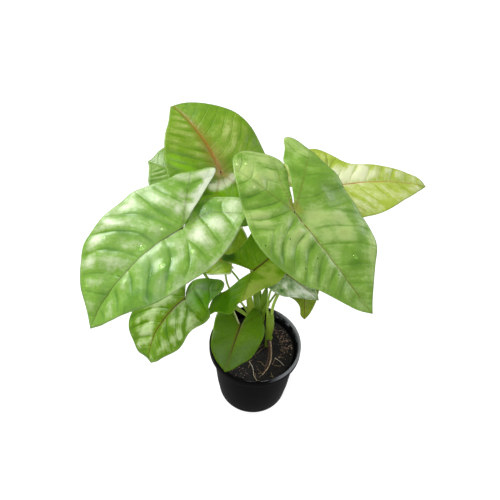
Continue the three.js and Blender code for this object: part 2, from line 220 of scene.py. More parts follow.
def half_outline(leaf, side):
    """The points that the margin runs through, from the tip round the lobe to the joint."""
    piece = leaf["left"] if side > 0 else leaf["right"]
    points = [Vector((leaf["length"], 0))]
    for bearing, share in zip(BEARINGS, (leaf.get("tip", DRIP_TIP_REACH), *piece["reach"])):
        past = max(0, bearing - LOBE_BEARING)
        angle = math.radians(bearing + piece["turn"] * past / (BEARINGS[-1] - LOBE_BEARING))
        reach = leaf["length"] * share / 100
        points.append(Vector((reach * math.cos(angle), side * reach * math.sin(angle))))
    return points + [Vector((0, 0))]


# %% From the flat plan to the bent blade
def arc(curvature, distance):
    """How far a line of even curvature runs ahead and aside over a distance."""
    if abs(curvature) < 1e-6:
        return distance, 0.0
    angle = curvature * distance
    return math.sin(angle) / curvature, (1 - math.cos(angle)) / curvature


def blade_point(leaf, side, flat, lift):
    """Where a place of the flat plan, and a height above it, lies on the bent blade."""
    piece = leaf["left"] if side > 0 else leaf["right"]
    length = leaf["length"]
    out = flat.y * side
    width = SECTION_WIDTH * length
    fold = math.radians(piece["fold"])
    arch = math.radians(piece["arch"]) / width
    run, fall = arc(arch, out)
    lean = fold - arch * out if out else 0.0
    height, start = piece["wave"]
    waves = MARGIN_WAVES * flat.x / length + start / 100
    wave = height * (out / width) ** 2 * math.sin(math.tau * waves)
    across = run * math.cos(fold) + fall * math.sin(fold) - lift * math.sin(lean)
    up = run * math.sin(fold) - fall * math.cos(fold) + wave + lift * math.cos(lean)
    sweep = math.radians(leaf["sweep"]) / length if flat.x > 0 else 0.0
    ahead, aside = arc(sweep, flat.x)
    x = ahead - side * across * math.sin(sweep * flat.x)
    y = aside + side * across * math.cos(sweep * flat.x)
    droop = math.radians(leaf["droop"] / length if x > 0 else piece["drop"] / (length / 2))
    forward, sink = arc(droop, x)
    return Vector((forward + up * math.sin(droop * x), y, up * math.cos(droop * x) - sink))


def leaf_matrix(leaf):
    """Places a blade's own frame in the plant's: heading, then pitch, then roll, at the joint."""
    turn = Matrix.Rotation(math.radians(leaf["heading"]), 4, "Z")
    turn @= Matrix.Rotation(math.radians(-leaf["pitch"]), 4, "Y")
    turn @= Matrix.Rotation(math.radians(leaf["roll"]), 4, "X")
    return Matrix.Translation(leaf["joint"]) @ turn


print("leaves:", len(LEAVES), "longest", max(leaf["length"] for leaf in LEAVES.values()), "mm")

# %% [markdown]
# ## Ribs and quilting
#
# Side ribs leave the midrib at about 70 degrees and curve towards the tip, and those of the lobes
# leave a rib of their own that runs from the joint into each lobe. We need to know, for any place
# on the flat leaf, how many ribs lie between it and the joint: whole numbers are then on a rib.
# One number does three jobs. It sinks the ribs into the mesh, bulges the blade between them, and
# tells the material where to draw the thin rib lines. It is stored on the mesh's points, so it
# follows the blade through every bend. A little noise keeps the ribs from lying like ruled lines.

# %% Rib fields
RIB_SPACING = 0.13  # of the leaf's length, unless a leaf has its own
RIB_SLANT = 0.3  # how far a rib runs ahead for each step outwards
RIB_CURVE = 1.1  # how much more it does near the margin
RIB_WAVER = 0.32  # how far a rib strays, in spacings
WAVER_SIZE = 32  # over this distance in millimetres
RIB_STAGGER = 0.2  # each half's ribs are shifted by this, in spacings, so that they don't meet
LOBE_RIB_BEARING = 136
LOBE_RIB_TURN = 0.6  # how much of the lobe's turn its rib follows
MARGIN_VEIN = 0.045  # the ribs join a fine vein this far inside the margin, in lengths


def smooth_step(low, high, value):
    """A soft step from 0 at the low value to 1 at the high one."""
    share = min(1.0, max(0.0, (value - low) / (high - low)))
    return share * share * (3 - 2 * share)


def leaf_noise(leaf, flat, size, seed=0):
    """Noise on the flat leaf in waves of a size in millimetres. Each leaf has its own."""
    return noise.noise((flat.x / size, flat.y / size, leaf["heading"] + seed))


def lobe_rib_angle(leaf, side):
    """The bearing of the rib in a lobe, in radians."""
    piece = leaf["left"] if side > 0 else leaf["right"]
    return math.radians(LOBE_RIB_BEARING + LOBE_RIB_TURN * piece["turn"])


def rib_count(leaf, side, flat, spacing):
    """Counts the side ribs at a place, and gives its distances to the midrib and lobe rib."""
    length = leaf["length"]
    out = abs(flat.y)
    ahead = flat.x - RIB_SLANT * out - RIB_CURVE * out * out / length
    angle = lobe_rib_angle(leaf, side)
    along = flat.x * math.cos(angle) + out * math.sin(angle)
    beside = abs(flat.x * math.sin(angle) - out * math.cos(angle))
    behind = along - RIB_SLANT * beside - RIB_CURVE * beside * beside / length
    count = max(ahead, behind) / (spacing * length)
    count += RIB_WAVER * leaf_noise(leaf, flat, WAVER_SIZE)
    beside = beside if along > 0 else flat.length
    return count + RIB_STAGGER * side, out, beside


# %% [markdown]
# ## A blade's mesh
#
# The blade starts as a flat grid from `create_grid`. Its columns become rays that fan out from the
# joint to the margin, and its rows become rings. The first half of the rows covers the upper face
# and the second half comes back under the lower face, so the margin is a thin closed edge without
# any modifier. Relief is added as height above the plan: grooves over the ribs, bulges between
# them, and a slow unevenness, because no leaf grows quite smooth.

# %% Rays from the joint
MARGIN_STEPS = 40  # steps along each stretch of the outline
LEAST_RAYS = 12
SINUS_RAYS = 6  # rays from a lobe's end to the edge of the notch between the lobes


def half_rays(leaf, side, spacing):
    """Evenly spaced rays over half a blade, each a function from a share to a flat place."""
    points = half_outline(leaf, side)
    stretches = len(points) - 1
    steps = [
        smooth_curve(points, i / (MARGIN_STEPS * stretches))
        for i in range(MARGIN_STEPS * (stretches - 1) + 1)
    ]
    lengths = [0.0]
    for before, after in zip(steps, steps[1:]):
        lengths.append(lengths[-1] + (after - before).length)
    count = max(LEAST_RAYS, round(lengths[-1] / spacing))
    ends = []
    step = 0
    for i in range(count + 1):
        wanted = lengths[-1] * i / count
        while step < len(steps) - 2 and lengths[step + 1] < wanted:
            step += 1
        share = (wanted - lengths[step]) / max(1e-9, lengths[step + 1] - lengths[step])
        ends.append(steps[step].lerp(steps[step + 1], share))
    rays = [lambda share, end=end: end * share for end in ends]
    lobe_end = ends[-1]
    for i in range(1, SINUS_RAYS + 1):
        blend = i / SINUS_RAYS
        rays.append(
            lambda share, blend=blend: (lobe_end * share).lerp(
                smooth_curve(points, 1 - share / stretches), blend
            )
        )
    return rays


# %% Relief and patterns at a place of the blade
BLADE_THICKNESS = 0.7
EDGE_TAPER = 0.9  # the blade thins to its margin over this distance
UNEVENNESS = 17  # width of the blade's slow swells
FULLNESS = 15  # over this distance the bulges between ribs grow fuller or flatter
GROOVE_WIDTH = 1.6  # of the groove over the midrib
GROOVE_DEPTH = 0.12
FAR = 9.0  # millimetres that count as far from any margin or vein


def relief(leaf, looks, side, flat, edge):
    """Height of the upper face's quilting, and the pattern numbers for the material."""
    length = leaf["length"]
    left_or_right = 0 if side > 0 else 1
    spacing = looks.get("spacing", (RIB_SPACING, RIB_SPACING))[left_or_right]
    count, out, beside = rib_count(leaf, side, flat, spacing)
    quilt = abs(math.sin(math.pi * count)) ** 0.8  # 0 on a rib and 1 midway to the next
    # The blade lies calm beside the midrib and lobe rib, at the margin and round the joint
    calm = smooth_step(0, 0.07 * length, out) * smooth_step(0, 0.05 * length, beside)
    calm *= smooth_step(0, 0.09 * length, edge) * smooth_step(0, 0.2 * length, flat.length)
    uneven = leaf_noise(leaf, flat, UNEVENNESS) * smooth_step(4, 16, flat.length)
    fullness = 1 + 1.5 * leaf_noise(leaf, flat, FULLNESS, seed=9)
    bulge = looks["quilt"][left_or_right]
    height = bulge * fullness * (quilt - 0.5) * calm + looks["uneven"] * uneven
    bulge_share = min(1.0, 0.25 + bulge) * fullness * calm
    midrib_width = looks.get("midrib_width", 0.4) * (1.3 - max(0.0, flat.x) / length)
    fade = looks.get("midrib_fade", 0) * max(0.0, flat.x / length) ** 2
    lobe_rib_width = 0.35 + 0.5 * max(0.0, 1 - flat.length / (0.5 * length))
    height -= GROOVE_DEPTH * math.exp(-((out / GROOVE_WIDTH) ** 2)) * smooth_step(2, 8, flat.x)
    return height, dict(
        rib=count,
        out=out,
        quilt=0.5 + (quilt - 0.45) * bulge_share,
        midrib=(out if flat.x > 0 else flat.length) / midrib_width + fade,
        lobe_rib=beside / lobe_rib_width,
        margin=edge,
        margin_vein=abs(edge - MARGIN_VEIN * length) if flat.length > 0.3 * length else FAR,
    )


# %% Brush strokes and local pushes
STROKE_STRAY = 0.35  # how ragged a stroke's edge is, as a share of its radius
STRAY_SIZE = 9  # width of its rags


def cover(stroke, leaf, flat):
    """How strongly a soft brush stroke, x, y, x, y and radius in leaf lengths, covers a place."""
    x, y, to_x, to_y, radius = stroke
    place = flat / leaf["length"]
    start = Vector((x, y))
    ahead = Vector((to_x - x, to_y - y))
    along = min(1.0, max(0.0, (place - start).dot(ahead) / max(1e-6, ahead.length_squared)))
    stray = STROKE_STRAY * leaf_noise(leaf, flat, STRAY_SIZE, seed=4)
    return 1 - smooth_step(0, 1, (place - start - along * ahead).length / radius + stray)


def nudged(looks, leaf, side, flat):
    """The flat place after the half's local pushes, and how much they lift it in millimetres."""
    place = flat / leaf["length"]
    moved = flat.copy()
    lift = 0.0
    hold = smooth_step(0, 0.05, place.length)  # the joint and the midrib stay where they are
    hold *= smooth_step(0, 0.12, abs(place.y)) if place.x > 0 else 1
    for half_side, x, y, radius, ahead, left, rise in looks.get("nudges", ()):
        if half_side in (side, 0):  # one that acts on both halves may move the midrib too
            share = 1 - smooth_step(0, 1, (place - Vector((x, y))).length / radius)
            share *= hold if half_side else 1
            moved += Vector((ahead, left)) * leaf["length"] * share
            lift += rise * share
    return moved, lift


# %% The blade itself
PATTERNS = ("rib", "out", "quilt", "midrib", "lobe_rib", "margin", "margin_vein", "under", "wash")
LEAST_SPACING = 1.1  # of a small blade's rays, along its margin
SPACINGS_ALONG = 75  # a large blade has this many of them in its length
RINGS_PER_SPACING = 0.62


def make_blade(name, leaf, looks, material):
    """One fine blade: upper face, thin margin and lower face in a single closed mesh."""
    spacing = max(LEAST_SPACING, leaf["length"] / SPACINGS_ALONG)
    right = half_rays(leaf, -1, spacing)[1:][::-1]
    left = half_rays(leaf, 1, spacing)
    rays = [(-1, ray) for ray in right] + [(1, ray) for ray in left]
    rings = round(leaf["length"] / spacing * RINGS_PER_SPACING)
    bm = bmesh.new()
    bmesh.ops.create_grid(bm, x_segments=len(rays) - 1, y_segments=2 * rings, size=0.5)
    colour_and_painted_light_patches = [(f"patch_{i}", stroke) for i, (_, stroke) in enumerate(looks.get("colour_and_painted_light_patches", ()))]
    names = [*PATTERNS, *(patch for patch, _ in colour_and_painted_light_patches)]
    stores = {pattern: bm.verts.layers.float.new(pattern) for pattern in names}
    place_leaf = leaf_matrix(leaf)
    for vert in bm.verts:
        column = round((vert.co.x + 0.5) * (len(rays) - 1))
        row = round((vert.co.y + 0.5) * 2 * rings)
        upper = row <= rings
        side, ray = rays[column]
        share = min(row, 2 * rings - row) / rings
        flat = ray(share)
        to_sinus = min(column, len(rays) - 1 - column)
        sinus_edge = rays[0 if side < 0 else -1][1](share)
        edge = min((ray(1.0) - flat).length, (flat - sinus_edge).length if to_sinus else 0.0)
        height, values = relief(leaf, looks, side, flat, edge)
        thick = BLADE_THICKNESS / 2 * math.sqrt(min(1.0, edge / EDGE_TAPER))
        thick *= smooth_step(-0.5, 3, flat.length)
        moved, lift = nudged(looks, leaf, side, flat)
        height += lift + (thick if upper else -thick)
        vert.co = place_leaf @ blade_point(leaf, side, moved, height)
        values["under"] = 0.0 if upper else 1.0
        # The wash is partly the leaf's own paler and darker tone and partly painted highlight and shade
        values["wash"] = 0.5 + sum(
            amount * cover(stroke, leaf, flat) for *stroke, amount in looks.get("tone_and_painted_light_washes", ())
        )
        for patch, stroke in colour_and_painted_light_patches:
            values[patch] = cover(stroke, leaf, flat)
        for pattern, value in values.items():
            vert[stores[pattern]] = value
    bmesh.ops.remove_doubles(bm, verts=bm.verts, dist=0.004)
    finish_piece(bm, f"leaf_{name}", material, looks["slot"], [f"blade_{name}"])


# %% [markdown]
# ## Leaf tissue
#
# A real blade has a waxy skin over soft green cells. The skin gives a broad, slightly blurred
# shine, so the roughness is middling and the IOR is that of plant wax. The colour is painted from
# the patterns stored on the mesh: paler where the blade bulges, which is a painted sheen, darker
# along the ribs, with a marbling of its own, streaks along the ribs that paint a streaky sheen, a
# thin coloured midrib and a pale margin. Washes add painted highlight and painted shade. Each leaf
# has its own age and so its own colours: young ones are silvery or lime, and old ones near the
# soil are plain green. The net of veins, the mottling and the streaks are drawn coarser than life,
# so that they show.

# %% The waxy leaf material
VEIN_NET = 1.7  # width of the smallest cells between veins
MOTTLING = 2.6  # width of the fine mottling
PUCKER = 6.5  # width of the small bulges between the ribs
MARBLING = 22  # width of the large blotches, unless a leaf has its own
STREAKS_PER_RIB = 6  # fine streaks from one side rib to the next
STREAK_RUN = 90  # they are long: so many millimetres outwards count as one rib to the next
UNDERSIDE = "#A9BF86"


def leaf_tissue(name, looks):
    """Leaf tissue under a waxy skin, in one leaf's colours. Sizes of patterns are millimetres."""
    material, tree = new_material(f"waxy leaf tissue {name}")
    place = add(tree, "TexCoord").outputs["Object"]
    pattern = {key: add(tree, "Attribute", attribute_name=key).outputs["Fac"] for key in PATTERNS}
    marbling, mottling, pucker = [
        add(
            tree,
            "TexNoise",
            {"Vector": place, "Scale": 1 / (size * MM), "Detail": detail, "Roughness": roughness},
        )
        for size, detail, roughness in (
            (looks.get("blotch_size", MARBLING), 2, 0.6),
            (MOTTLING, 4, 0.6),
            (PUCKER, 2, 0.5),
        )
    ]
    run = add(tree, "Math", {0: pattern["out"], 1: STREAK_RUN}, operation="DIVIDE")
    grain = add(tree, "CombineXYZ", {0: pattern["rib"], 1: run})
    streaks = add(tree, "TexNoise", {"Vector": grain, "Scale": STREAKS_PER_RIB, "Detail": 3})

    # The tone runs from 0, dark, over 0.5, the body colour, to 1, pale
    tone = looks["tone"]
    # The streaks and the quilt paint a sheen along the ribs and on the bulges, and the wash paints
    # highlight and shade over the leaf's own tone
    for value, strength in (
        (streaks, looks.get("streak", 0.5)),
        (marbling, looks.get("blotch", 1.1)),
        (mottling, looks.get("mottle", 0.5)),
        (pattern["quilt"], looks.get("painted_bulge_sheen", 0.4)),
        (pattern["wash"], 1.0),
    ):
        centre = add(tree, "Math", {0: value, 1: 0.5}, operation="SUBTRACT")
        tone = add(tree, "Math", {0: centre, 1: strength, 2: tone}, operation="MULTIPLY_ADD")
    colour = linear(looks["dark"])
    for low, high, shade in ((0.0, 0.5, "body"), (0.5, 1.0, "pale")):
        share = add(tree, "MapRange", {"Value": tone, "From Min": low, "From Max": high})
        colour = add(
            tree, "Mix", {0: share, 6: colour, 7: linear(looks[shade])}, data_type="RGBA"
        ).outputs[2]

    # Rib lines fade in and out with the marbling, and near the margin
    beside_rib = add(tree, "Math", {0: pattern["rib"], 1: 0.5}, operation="PINGPONG")
    near_margin = add(
        tree,
        "MapRange",
        {"Value": pattern["margin"], "From Min": 2.0, "From Max": 15.0, "To Min": 0.12, "To Max": 0.0},
    )
    faded_rib = add(tree, "Math", {0: marbling, 1: 0.3, 2: beside_rib}, operation="MULTIPLY_ADD")
    faded_rib = add(tree, "Math", {0: faded_rib, 1: near_margin}, operation="ADD")

    # Each mark: its pattern, where it starts and where it is full, how strong it is, its colour
    marks = []
    for i, (shade, _) in enumerate(looks.get("colour_and_painted_light_patches", ())):
        spot = add(tree, "Attribute", attribute_name=f"patch_{i}").outputs["Fac"]
        ragged = add(tree, "Math", {0: tone, 1: 0.9, 2: spot}, operation="MULTIPLY_ADD")
        marks.append((ragged, 0.6, 1.5, 0.75, shade))
    pale, dark, midrib = looks["pale"], looks["dark"], looks["midrib"]
    marks += [
        (pattern["margin"], 2.5, 0.0, looks.get("rim_share", 0.15), looks.get("rim", pale)),
        (faded_rib, 0.2, 0.155, looks.get("rib_share", 0.4), dark),
        (pattern["margin_vein"], 0.8, 0.3, looks.get("rib_share", 0.3), dark),
        (pattern["lobe_rib"], 2.2, 0.6, 0.3, midrib),
        (pattern["midrib"], 7.0, 1.2, looks.get("halo_share", 0.2), looks.get("halo", pale)),
        (pattern["midrib"], 1.5, 0.75, 0.9, midrib),
        (pattern["under"], 0.0, 1.0, 0.45, UNDERSIDE),
    ]
    for value, start, full, strength, shade in marks:
        mask = add(
            tree,
            "MapRange",
            {"Value": value, "From Min": start, "From Max": full, "To Max": strength},
            interpolation_type="SMOOTHSTEP",
        )
        colour = add(
            tree, "Mix", {0: mask, 6: colour, 7: linear(shade)}, data_type="RGBA"
        ).outputs[2]

    net = add(
        tree,
        "TexVoronoi",
        {"Vector": place, "Scale": 1 / (VEIN_NET * MM)},
        feature="DISTANCE_TO_EDGE",
    )
    veins = add(tree, "MapRange", {"Value": net, "From Max": 0.12, "To Max": 1.0})
    groove = add(
        tree,
        "MapRange",
        {"Value": beside_rib, "From Max": 0.1},
        interpolation_type="SMOOTHSTEP",
    )
    height = 0.0
    for value, strength in (
        (veins, -0.2),
        (mottling, 0.3),
        (streaks, 0.6),
        (pucker, 1.5),
        (groove, looks.get("groove", 0.8)),
    ):
        height = add(tree, "Math", {0: value, 1: strength, 2: height}, operation="MULTIPLY_ADD")
    bump = add(tree, "Bump", {"Strength": 0.8, "Distance": 0.35 * MM, "Height": height})
    roughness = add(tree, "MapRange", {"Value": mottling, "To Min": 0.26, "To Max": 0.42})
    skin = add(
        tree,
        "BsdfPrincipled",
        {
            "Base Color": colour,
            "Roughness": roughness,
            "IOR": 1.45,
            "Specular IOR Level": looks.get("shine", 0.45),
            "Normal": bump,
            "Coat Weight": looks.get("wax", 0.2),
            "Coat Roughness": 0.3,
            "Subsurface Weight": 0.12,
            "Subsurface Radius": (0.5, 1.0, 0.2),
            "Subsurface Scale": 1.2 * MM,
        },
    )
    add(tree, "OutputMaterial", {"Surface": skin})
    return material


# %% [markdown]
# The looks of each leaf: its finish, how strongly each half is quilted, how uneven it lies, its mean
# tone, and its colours from dark to pale. Most leaves also have features of their own. Their places
# are in leaf lengths from the joint, x ahead and y to the left.
#
# - Washes make a stroke paler or darker, partly the leaf's own tone and partly painted highlight
#   and painted shade: from x, y to x, y, then its radius and the amount.
# - Patches are strokes in a colour of their own, some of them painted highlights and a painted
#   glow: the colour, x, y to x, y, and the radius.
# - Nudges push the margin where no plain outline reaches: on the left half (1), the right one (-1)
#   or both (0), at x, y within a radius, so far ahead, so far left, and up by so many millimetres.
#
# The other settings are strengths and widths, which the blade and its tissue above ask for by name.

# %% Colours and relief of each leaf
LOOKS = {
    "front_left": dict(
        slot="leaf_silver", quilt=(1.1, 0.9), uneven=2.2, tone=0.42, spacing=(0.17, 0.17), blotch=0.8,
        dark="#4E8412", body="#7CA83A", pale="#CCDAAE", midrib="#40380E", halo="#6E8A24",
        wax=0.4, mottle=0.45, streak=0.4,
        tone_and_painted_light_washes=(
            (0.02, -0.34, 0.4, -0.42, 0.22, 0.15), (-0.1, 0.1, -0.42, 0.1, 0.22, 0.22),
            (0.5, -0.34, 0.6, -0.28, 0.08, 0.25), (0.63, 0.1, 0.5, 0.24, 0.12, -0.15),
            (0.36, -0.2, 0.54, -0.2, 0.09, -0.2), (0.05, -0.33, 0.1, -0.36, 0.08, -0.15),
            (0.3, -0.08, 0.42, -0.18, 0.07, 0.2), (0.22, 0.05, 0.27, 0.2, 0.1, -0.15),
            (0.36, 0.1, 0.44, 0.34, 0.13, -0.2), (0.02, -0.16, 0.2, -0.28, 0.08, -0.25),
            (-0.24, -0.26, -0.3, -0.28, 0.07, -0.15), (-0.14, -0.08, -0.48, -0.32, 0.1, 0.45),
            (-0.2, -0.38, -0.5, -0.24, 0.1, 0.35), (-0.08, -0.14, -0.12, -0.2, 0.08, 0.3),
            (0.05, 0.08, -0.1, 0.26, 0.13, 0.12), (-0.18, 0.04, -0.26, 0.06, 0.1, -0.55),
            (-0.32, 0.28, -0.04, 0.37, 0.06, 0.3), (-0.04, 0.37, 0.45, 0.38, 0.06, 0.2),
            (0.12, 0.25, 0.3, 0.28, 0.05, -0.15),
        ),
        # The pale patch along the inner edge of the lobe is a painted highlight
        colour_and_painted_light_patches=(("#DCE6CE", (-0.14, -0.09, -0.45, -0.3, 0.06)),),
        nudges=((1, -0.24, 0.02, 0.26, 0, -0.12, 0), (-1, 0.14, -0.42, 0.28, 0, -0.065, 0)),
    ),
    "front_right": dict(
        slot="leaf_green", quilt=(0.35, 1.2), uneven=1.8, tone=0.44, blotch=0.9, spacing=(0.19, 0.13),
        dark="#568614", body="#78A232", pale="#B4D07C", midrib="#6E5C14", halo="#98A040",
        wax=0.35,
        tone_and_painted_light_washes=(
            (-0.22, -0.42, -0.1, -0.26, 0.11, 0.4), (-0.34, -0.32, -0.22, -0.14, 0.08, -0.25),
            (0.0, -0.3, 0.12, -0.2, 0.2, 0.2), (0.12, 0.12, 0.36, 0.24, 0.18, 0.35),
            (0.17, -0.09, 0.24, -0.13, 0.07, 0.3), (-0.28, 0.22, 0.02, 0.36, 0.15, -0.25),
            (0.2, 0.02, 0.42, 0.06, 0.12, 0.3), (0.2, 0.34, 0.34, 0.28, 0.09, 0.25),
            (0.02, 0.14, 0.08, 0.24, 0.09, -0.25), (0.45, 0.36, 0.62, 0.14, 0.09, -0.3),
            (0.5, 0.42, 0.8, 0.2, 0.06, 0.35), (-0.35, -0.02, -0.62, -0.15, 0.18, 0.45),
            (-0.28, 0.1, -0.1, 0.05, 0.08, 0.2), (-0.6, 0.45, -0.4, 0.45, 0.12, 0.4),
            (-0.45, 0.14, -0.66, 0.06, 0.14, 0.3), (0.28, -0.46, 0.42, -0.46, 0.07, 0.25),
            (0.5, -0.16, 0.52, -0.2, 0.1, -0.15),
        ),
        colour_and_painted_light_patches=(("#90982A", (-0.08, 0.03, 0.02, 0.04, 0.07)),),
        nudges=(
            (1, -0.58, 0.43, 0.12, -0.03, 0.01, 0), (1, -0.46, 0.28, 0.13, 0, -0.04, -4),
            (-1, -0.42, 0.18, 0.2, 0.03, 0.035, 0),
        ),
    ),
    "back_left": dict(
        slot="leaf_green", quilt=(0.7, 0.2), uneven=0.8, tone=0.36, painted_bulge_sheen=0.3, blotch=0.8,
        dark="#4E7E04", body="#70980C", pale="#A4B858", midrib="#94700A", halo="#857A1A",
        halo_share=0.6, midrib_width=1.7, midrib_fade=1.2, rib_share=0.12, groove=0.5,
        tone_and_painted_light_washes=((0.55, 0.2, 0.3, -0.2, 0.35, 0.25), (0.6, -0.25, 0.2, -0.4, 0.15, 0.1)),
        # The bright green on the lobes is a painted glow of light through them, and the near white at
        # the joint is a painted highlight
        colour_and_painted_light_patches=(
            ("#8CC40C", (-0.24, 0.26, -0.24, -0.14, 0.2)),
            ("#FFFFE2", (-0.1, 0.15, -0.1, -0.1, 0.1)),
            ("#D4C468", (0.0, 0.06, -0.04, -0.03, 0.07)),
            ("#7CB400", (0.3, 0.42, 0.12, 0.3, 0.14)),
        ),
        nudges=((1, -0.3, 0.02, 0.25, 0, -0.04, 0), (1, 0.9, 0.15, 0.6, 0, -0.06, 0)),
    ),
    "right": dict(
        slot="leaf_lime", quilt=(1.0, 0.3), uneven=1.0, tone=0.5, blotch=0.9,
        dark="#86A01C", body="#A8BC42", pale="#E0E4B8", midrib="#AC5636", halo="#C4B468",
        rim="#8CAA28", rim_share=0.4, rib_share=0.2,
        tone_and_painted_light_washes=(
            (0.05, 0.1, 0.34, 0.1, 0.18, 0.5), (0.94, 0, 1.0, 0, 0.12, -0.4),
            (0.05, 0.26, 0.3, 0.3, 0.1, -0.2), (0.84, -0.1, 0.88, -0.06, 0.08, 0.3),
            (0.66, -0.12, 0.7, -0.1, 0.08, -0.2),
        ),
    ),
    "left": dict(
        slot="leaf_silver", quilt=(0.8, 0.8), uneven=1.2, tone=0.4, painted_bulge_sheen=0.3,
        dark="#4E7C14", body="#74983C", pale="#BECE98", midrib="#5E6A20", rim_share=0.4,
        tone_and_painted_light_washes=((0.94, -0.14, 0.84, -0.1, 0.14, -0.15),), wax=0.05,
        nudges=((-1, 0.85, -0.22, 0.35, 0.08, -0.12, 2),),
    ),
    "low_left": dict(
        slot="leaf_olive", quilt=(0.8, 0.9), uneven=1.2, tone=0.34, painted_bulge_sheen=0.35, spacing=(0.19, 0.19),
        blotch=1.2, dark="#467400", body="#6A940A", pale="#C8DAA0", midrib="#3A2400",
        halo="#8A7220", halo_share=0.35, midrib_width=0.5, wax=0.05, shine=0.3,
        tone_and_painted_light_washes=(
            (0.1, -0.2, 0.4, -0.34, 0.14, 0.4), (0.5, -0.14, 0.8, -0.2, 0.12, 0.4),
            (0.3, 0.16, 0.34, 0.36, 0.1, 0.35), (-0.2, 0.1, -0.45, 0.2, 0.3, -0.3),
            (0.35, 0.33, 0.7, 0.2, 0.09, 0.4), (0.2, -0.16, 0.34, -0.2, 0.1, 0.3),
            (-0.02, 0.2, 0.14, 0.42, 0.13, 0.5), (0.08, 0.14, 0.2, 0.28, 0.09, 0.3),
            (0.92, -0.06, 0.96, -0.02, 0.1, -0.3), (0.6, -0.3, 0.66, -0.28, 0.08, 0.25),
        ),
        colour_and_painted_light_patches=(("#5C9C00", (-0.15, 0.16, -0.5, 0.36, 0.3)),),
        nudges=(
            (-1, 0.9, -0.18, 0.17, 0.04, -0.02, 0), (1, -0.2, 0.0, 0.26, 0, -0.19, 1),
            (1, -0.28, 0.34, 0.2, 0.08, -0.06, 0), (0, 1.02, 0, 0.13, -0.04, 0, 0),
        ),
    ),
    "low_front": dict(
        slot="leaf_green", quilt=(0.05, 0.05), uneven=0.6, tone=0.4, painted_bulge_sheen=0.1, blotch=0.6,
        dark="#3A5E00", body="#507400", pale="#7A9A26", midrib="#3E1C04", halo="#6A5C0C",
        midrib_width=0.6, midrib_fade=1.4, halo_share=0.3, rib_share=0.08, wax=0.1, shine=0.2,
        groove=0.1,
        tone_and_painted_light_washes=((0.0, -0.3, -0.15, -0.36, 0.25, -0.2), (0.5, -0.2, 0.3, 0.3, 0.3, 0.12)),
        colour_and_painted_light_patches=(("#F4F4CC", (-0.05, -0.04, -0.37, -0.33, 0.06)),),
    ),
    "middle": dict(
        slot="leaf_green", quilt=(0.3, 0.3), uneven=0.9, tone=0.4, painted_bulge_sheen=0.15, blotch=0.9,
        dark="#447606", body="#668F0C", pale="#AABC50", midrib="#4C3008", halo="#788410",
        midrib_width=0.7, rib_share=0.1, wax=0.0, shine=0.12, groove=0.2,
        tone_and_painted_light_washes=(
            (-0.02, -0.28, -0.42, -0.28, 0.22, 0.55), (-0.4, 0.0, -0.7, 0.0, 0.3, -0.35),
            (0.1, -0.1, 0.4, -0.2, 0.2, 0.15), (0.1, -0.3, 0.2, -0.5, 0.16, 0.4),
        ),
        colour_and_painted_light_patches=(("#003C1E", (-0.22, 0.54, -0.14, 0.4, 0.2)),),
        nudges=(
            (-1, -0.74, 0.08, 0.26, 0, 0.1, 0), (1, -0.2, 0.5, 0.12, 0.02, 0.03, 0),
            (-1, -0.72, -0.12, 0.22, -0.02, -0.12, 0),
        ),
    ),
    "inner_right": dict(
        slot="leaf_silver", quilt=(0.15, 0.15), uneven=0.5, tone=0.6, painted_bulge_sheen=0.1, blotch=2.6,
        mottle=0.7, blotch_size=9, dark="#3E7020", body="#8EA670", pale="#D6DECC", midrib="#5C300C",
        halo="#8E8640", rib_share=0.08, groove=0.2,
        tone_and_painted_light_washes=((0.2, 0.2, 0.7, 0.1, 0.14, -0.2), (0.2, -0.25, 0.7, -0.1, 0.2, 0.15)),
    ),
    "inner_left": dict(
        slot="leaf_olive", quilt=(0.2, 0.2), uneven=0.8, tone=0.45, painted_bulge_sheen=0.1, blotch=1.6,
        dark="#5A8006", body="#8AA810", pale="#C8D45C", midrib="#965E1C", halo="#907028",
        rim="#E8ECC8", rim_share=0.8, shine=0.3, groove=0.2,
        nudges=((1, -0.34, 0.13, 0.32, 0.22, -0.02, 0),),
    ),
    "low_right": dict(
        slot="leaf_olive", quilt=(0.25, 0.25), uneven=0.5, tone=0.42, painted_bulge_sheen=0.2,
        dark="#566E00", body="#748A08", pale="#9CA836", midrib="#5E3000", shine=0.3, groove=0.2,
        nudges=((-1, 0.75, -0.22, 0.25, 0, 0.07, 0),),
    ),
}

for name, leaf in LEAVES.items():
    make_blade(name, leaf, LOOKS[name], leaf_tissue(name, LOOKS[name]))

# %% [markdown]
# ## Water drops
#
# The plant has just been misted. A drop on a waxy blade is a low dome of clear water, a little longer
# than wide where it has begun to run. It has its own IOR, and casts no shadow here, because a real
# drop lets the light through to the leaf below it. The large drops are placed one by one, and fine
# mist is scattered at random. They sit on the blade's upper face, so we need a frame there: where
# the place lies, and which way the face looks.

# %% Sit something on a blade
def seat_on_blade(name, x, y):
    """A matrix for a place on the upper face, its Z axis square to the face."""
    leaf, looks = LEAVES[name], LOOKS[name]
    side = 1 if y > 0 else -1
    flat = Vector((x, y)) * leaf["length"]
    height, _ = relief(leaf, looks, side, flat, FAR)
    moved, lift = nudged(looks, leaf, side, flat)
    height += lift + BLADE_THICKNESS / 2
    place_leaf = leaf_matrix(leaf)
    middle, ahead, left = (
        place_leaf @ blade_point(leaf, side, moved + Vector(step), height)
        for step in ((0, 0), (0.5, 0), (0, 0.5))
    )
    ahead = (ahead - middle).normalized()
    normal = ahead.cross(left - middle).normalized()
    turn = Matrix((ahead, normal.cross(ahead), normal)).transposed().to_4x4()
    return Matrix.Translation(middle) @ turn


def water():
    """Clear water: nearly mirror smooth, and bends light as water does."""
    material, tree = new_material("water drops")
    drop = add(
        tree,
        "BsdfPrincipled",
        {"Base Color": linear("#FFFFFF"), "Roughness": 0.03, "IOR": 1.333, "Transmission Weight": 1.0},
    )
    add(tree, "OutputMaterial", {"Surface": drop})
    return material


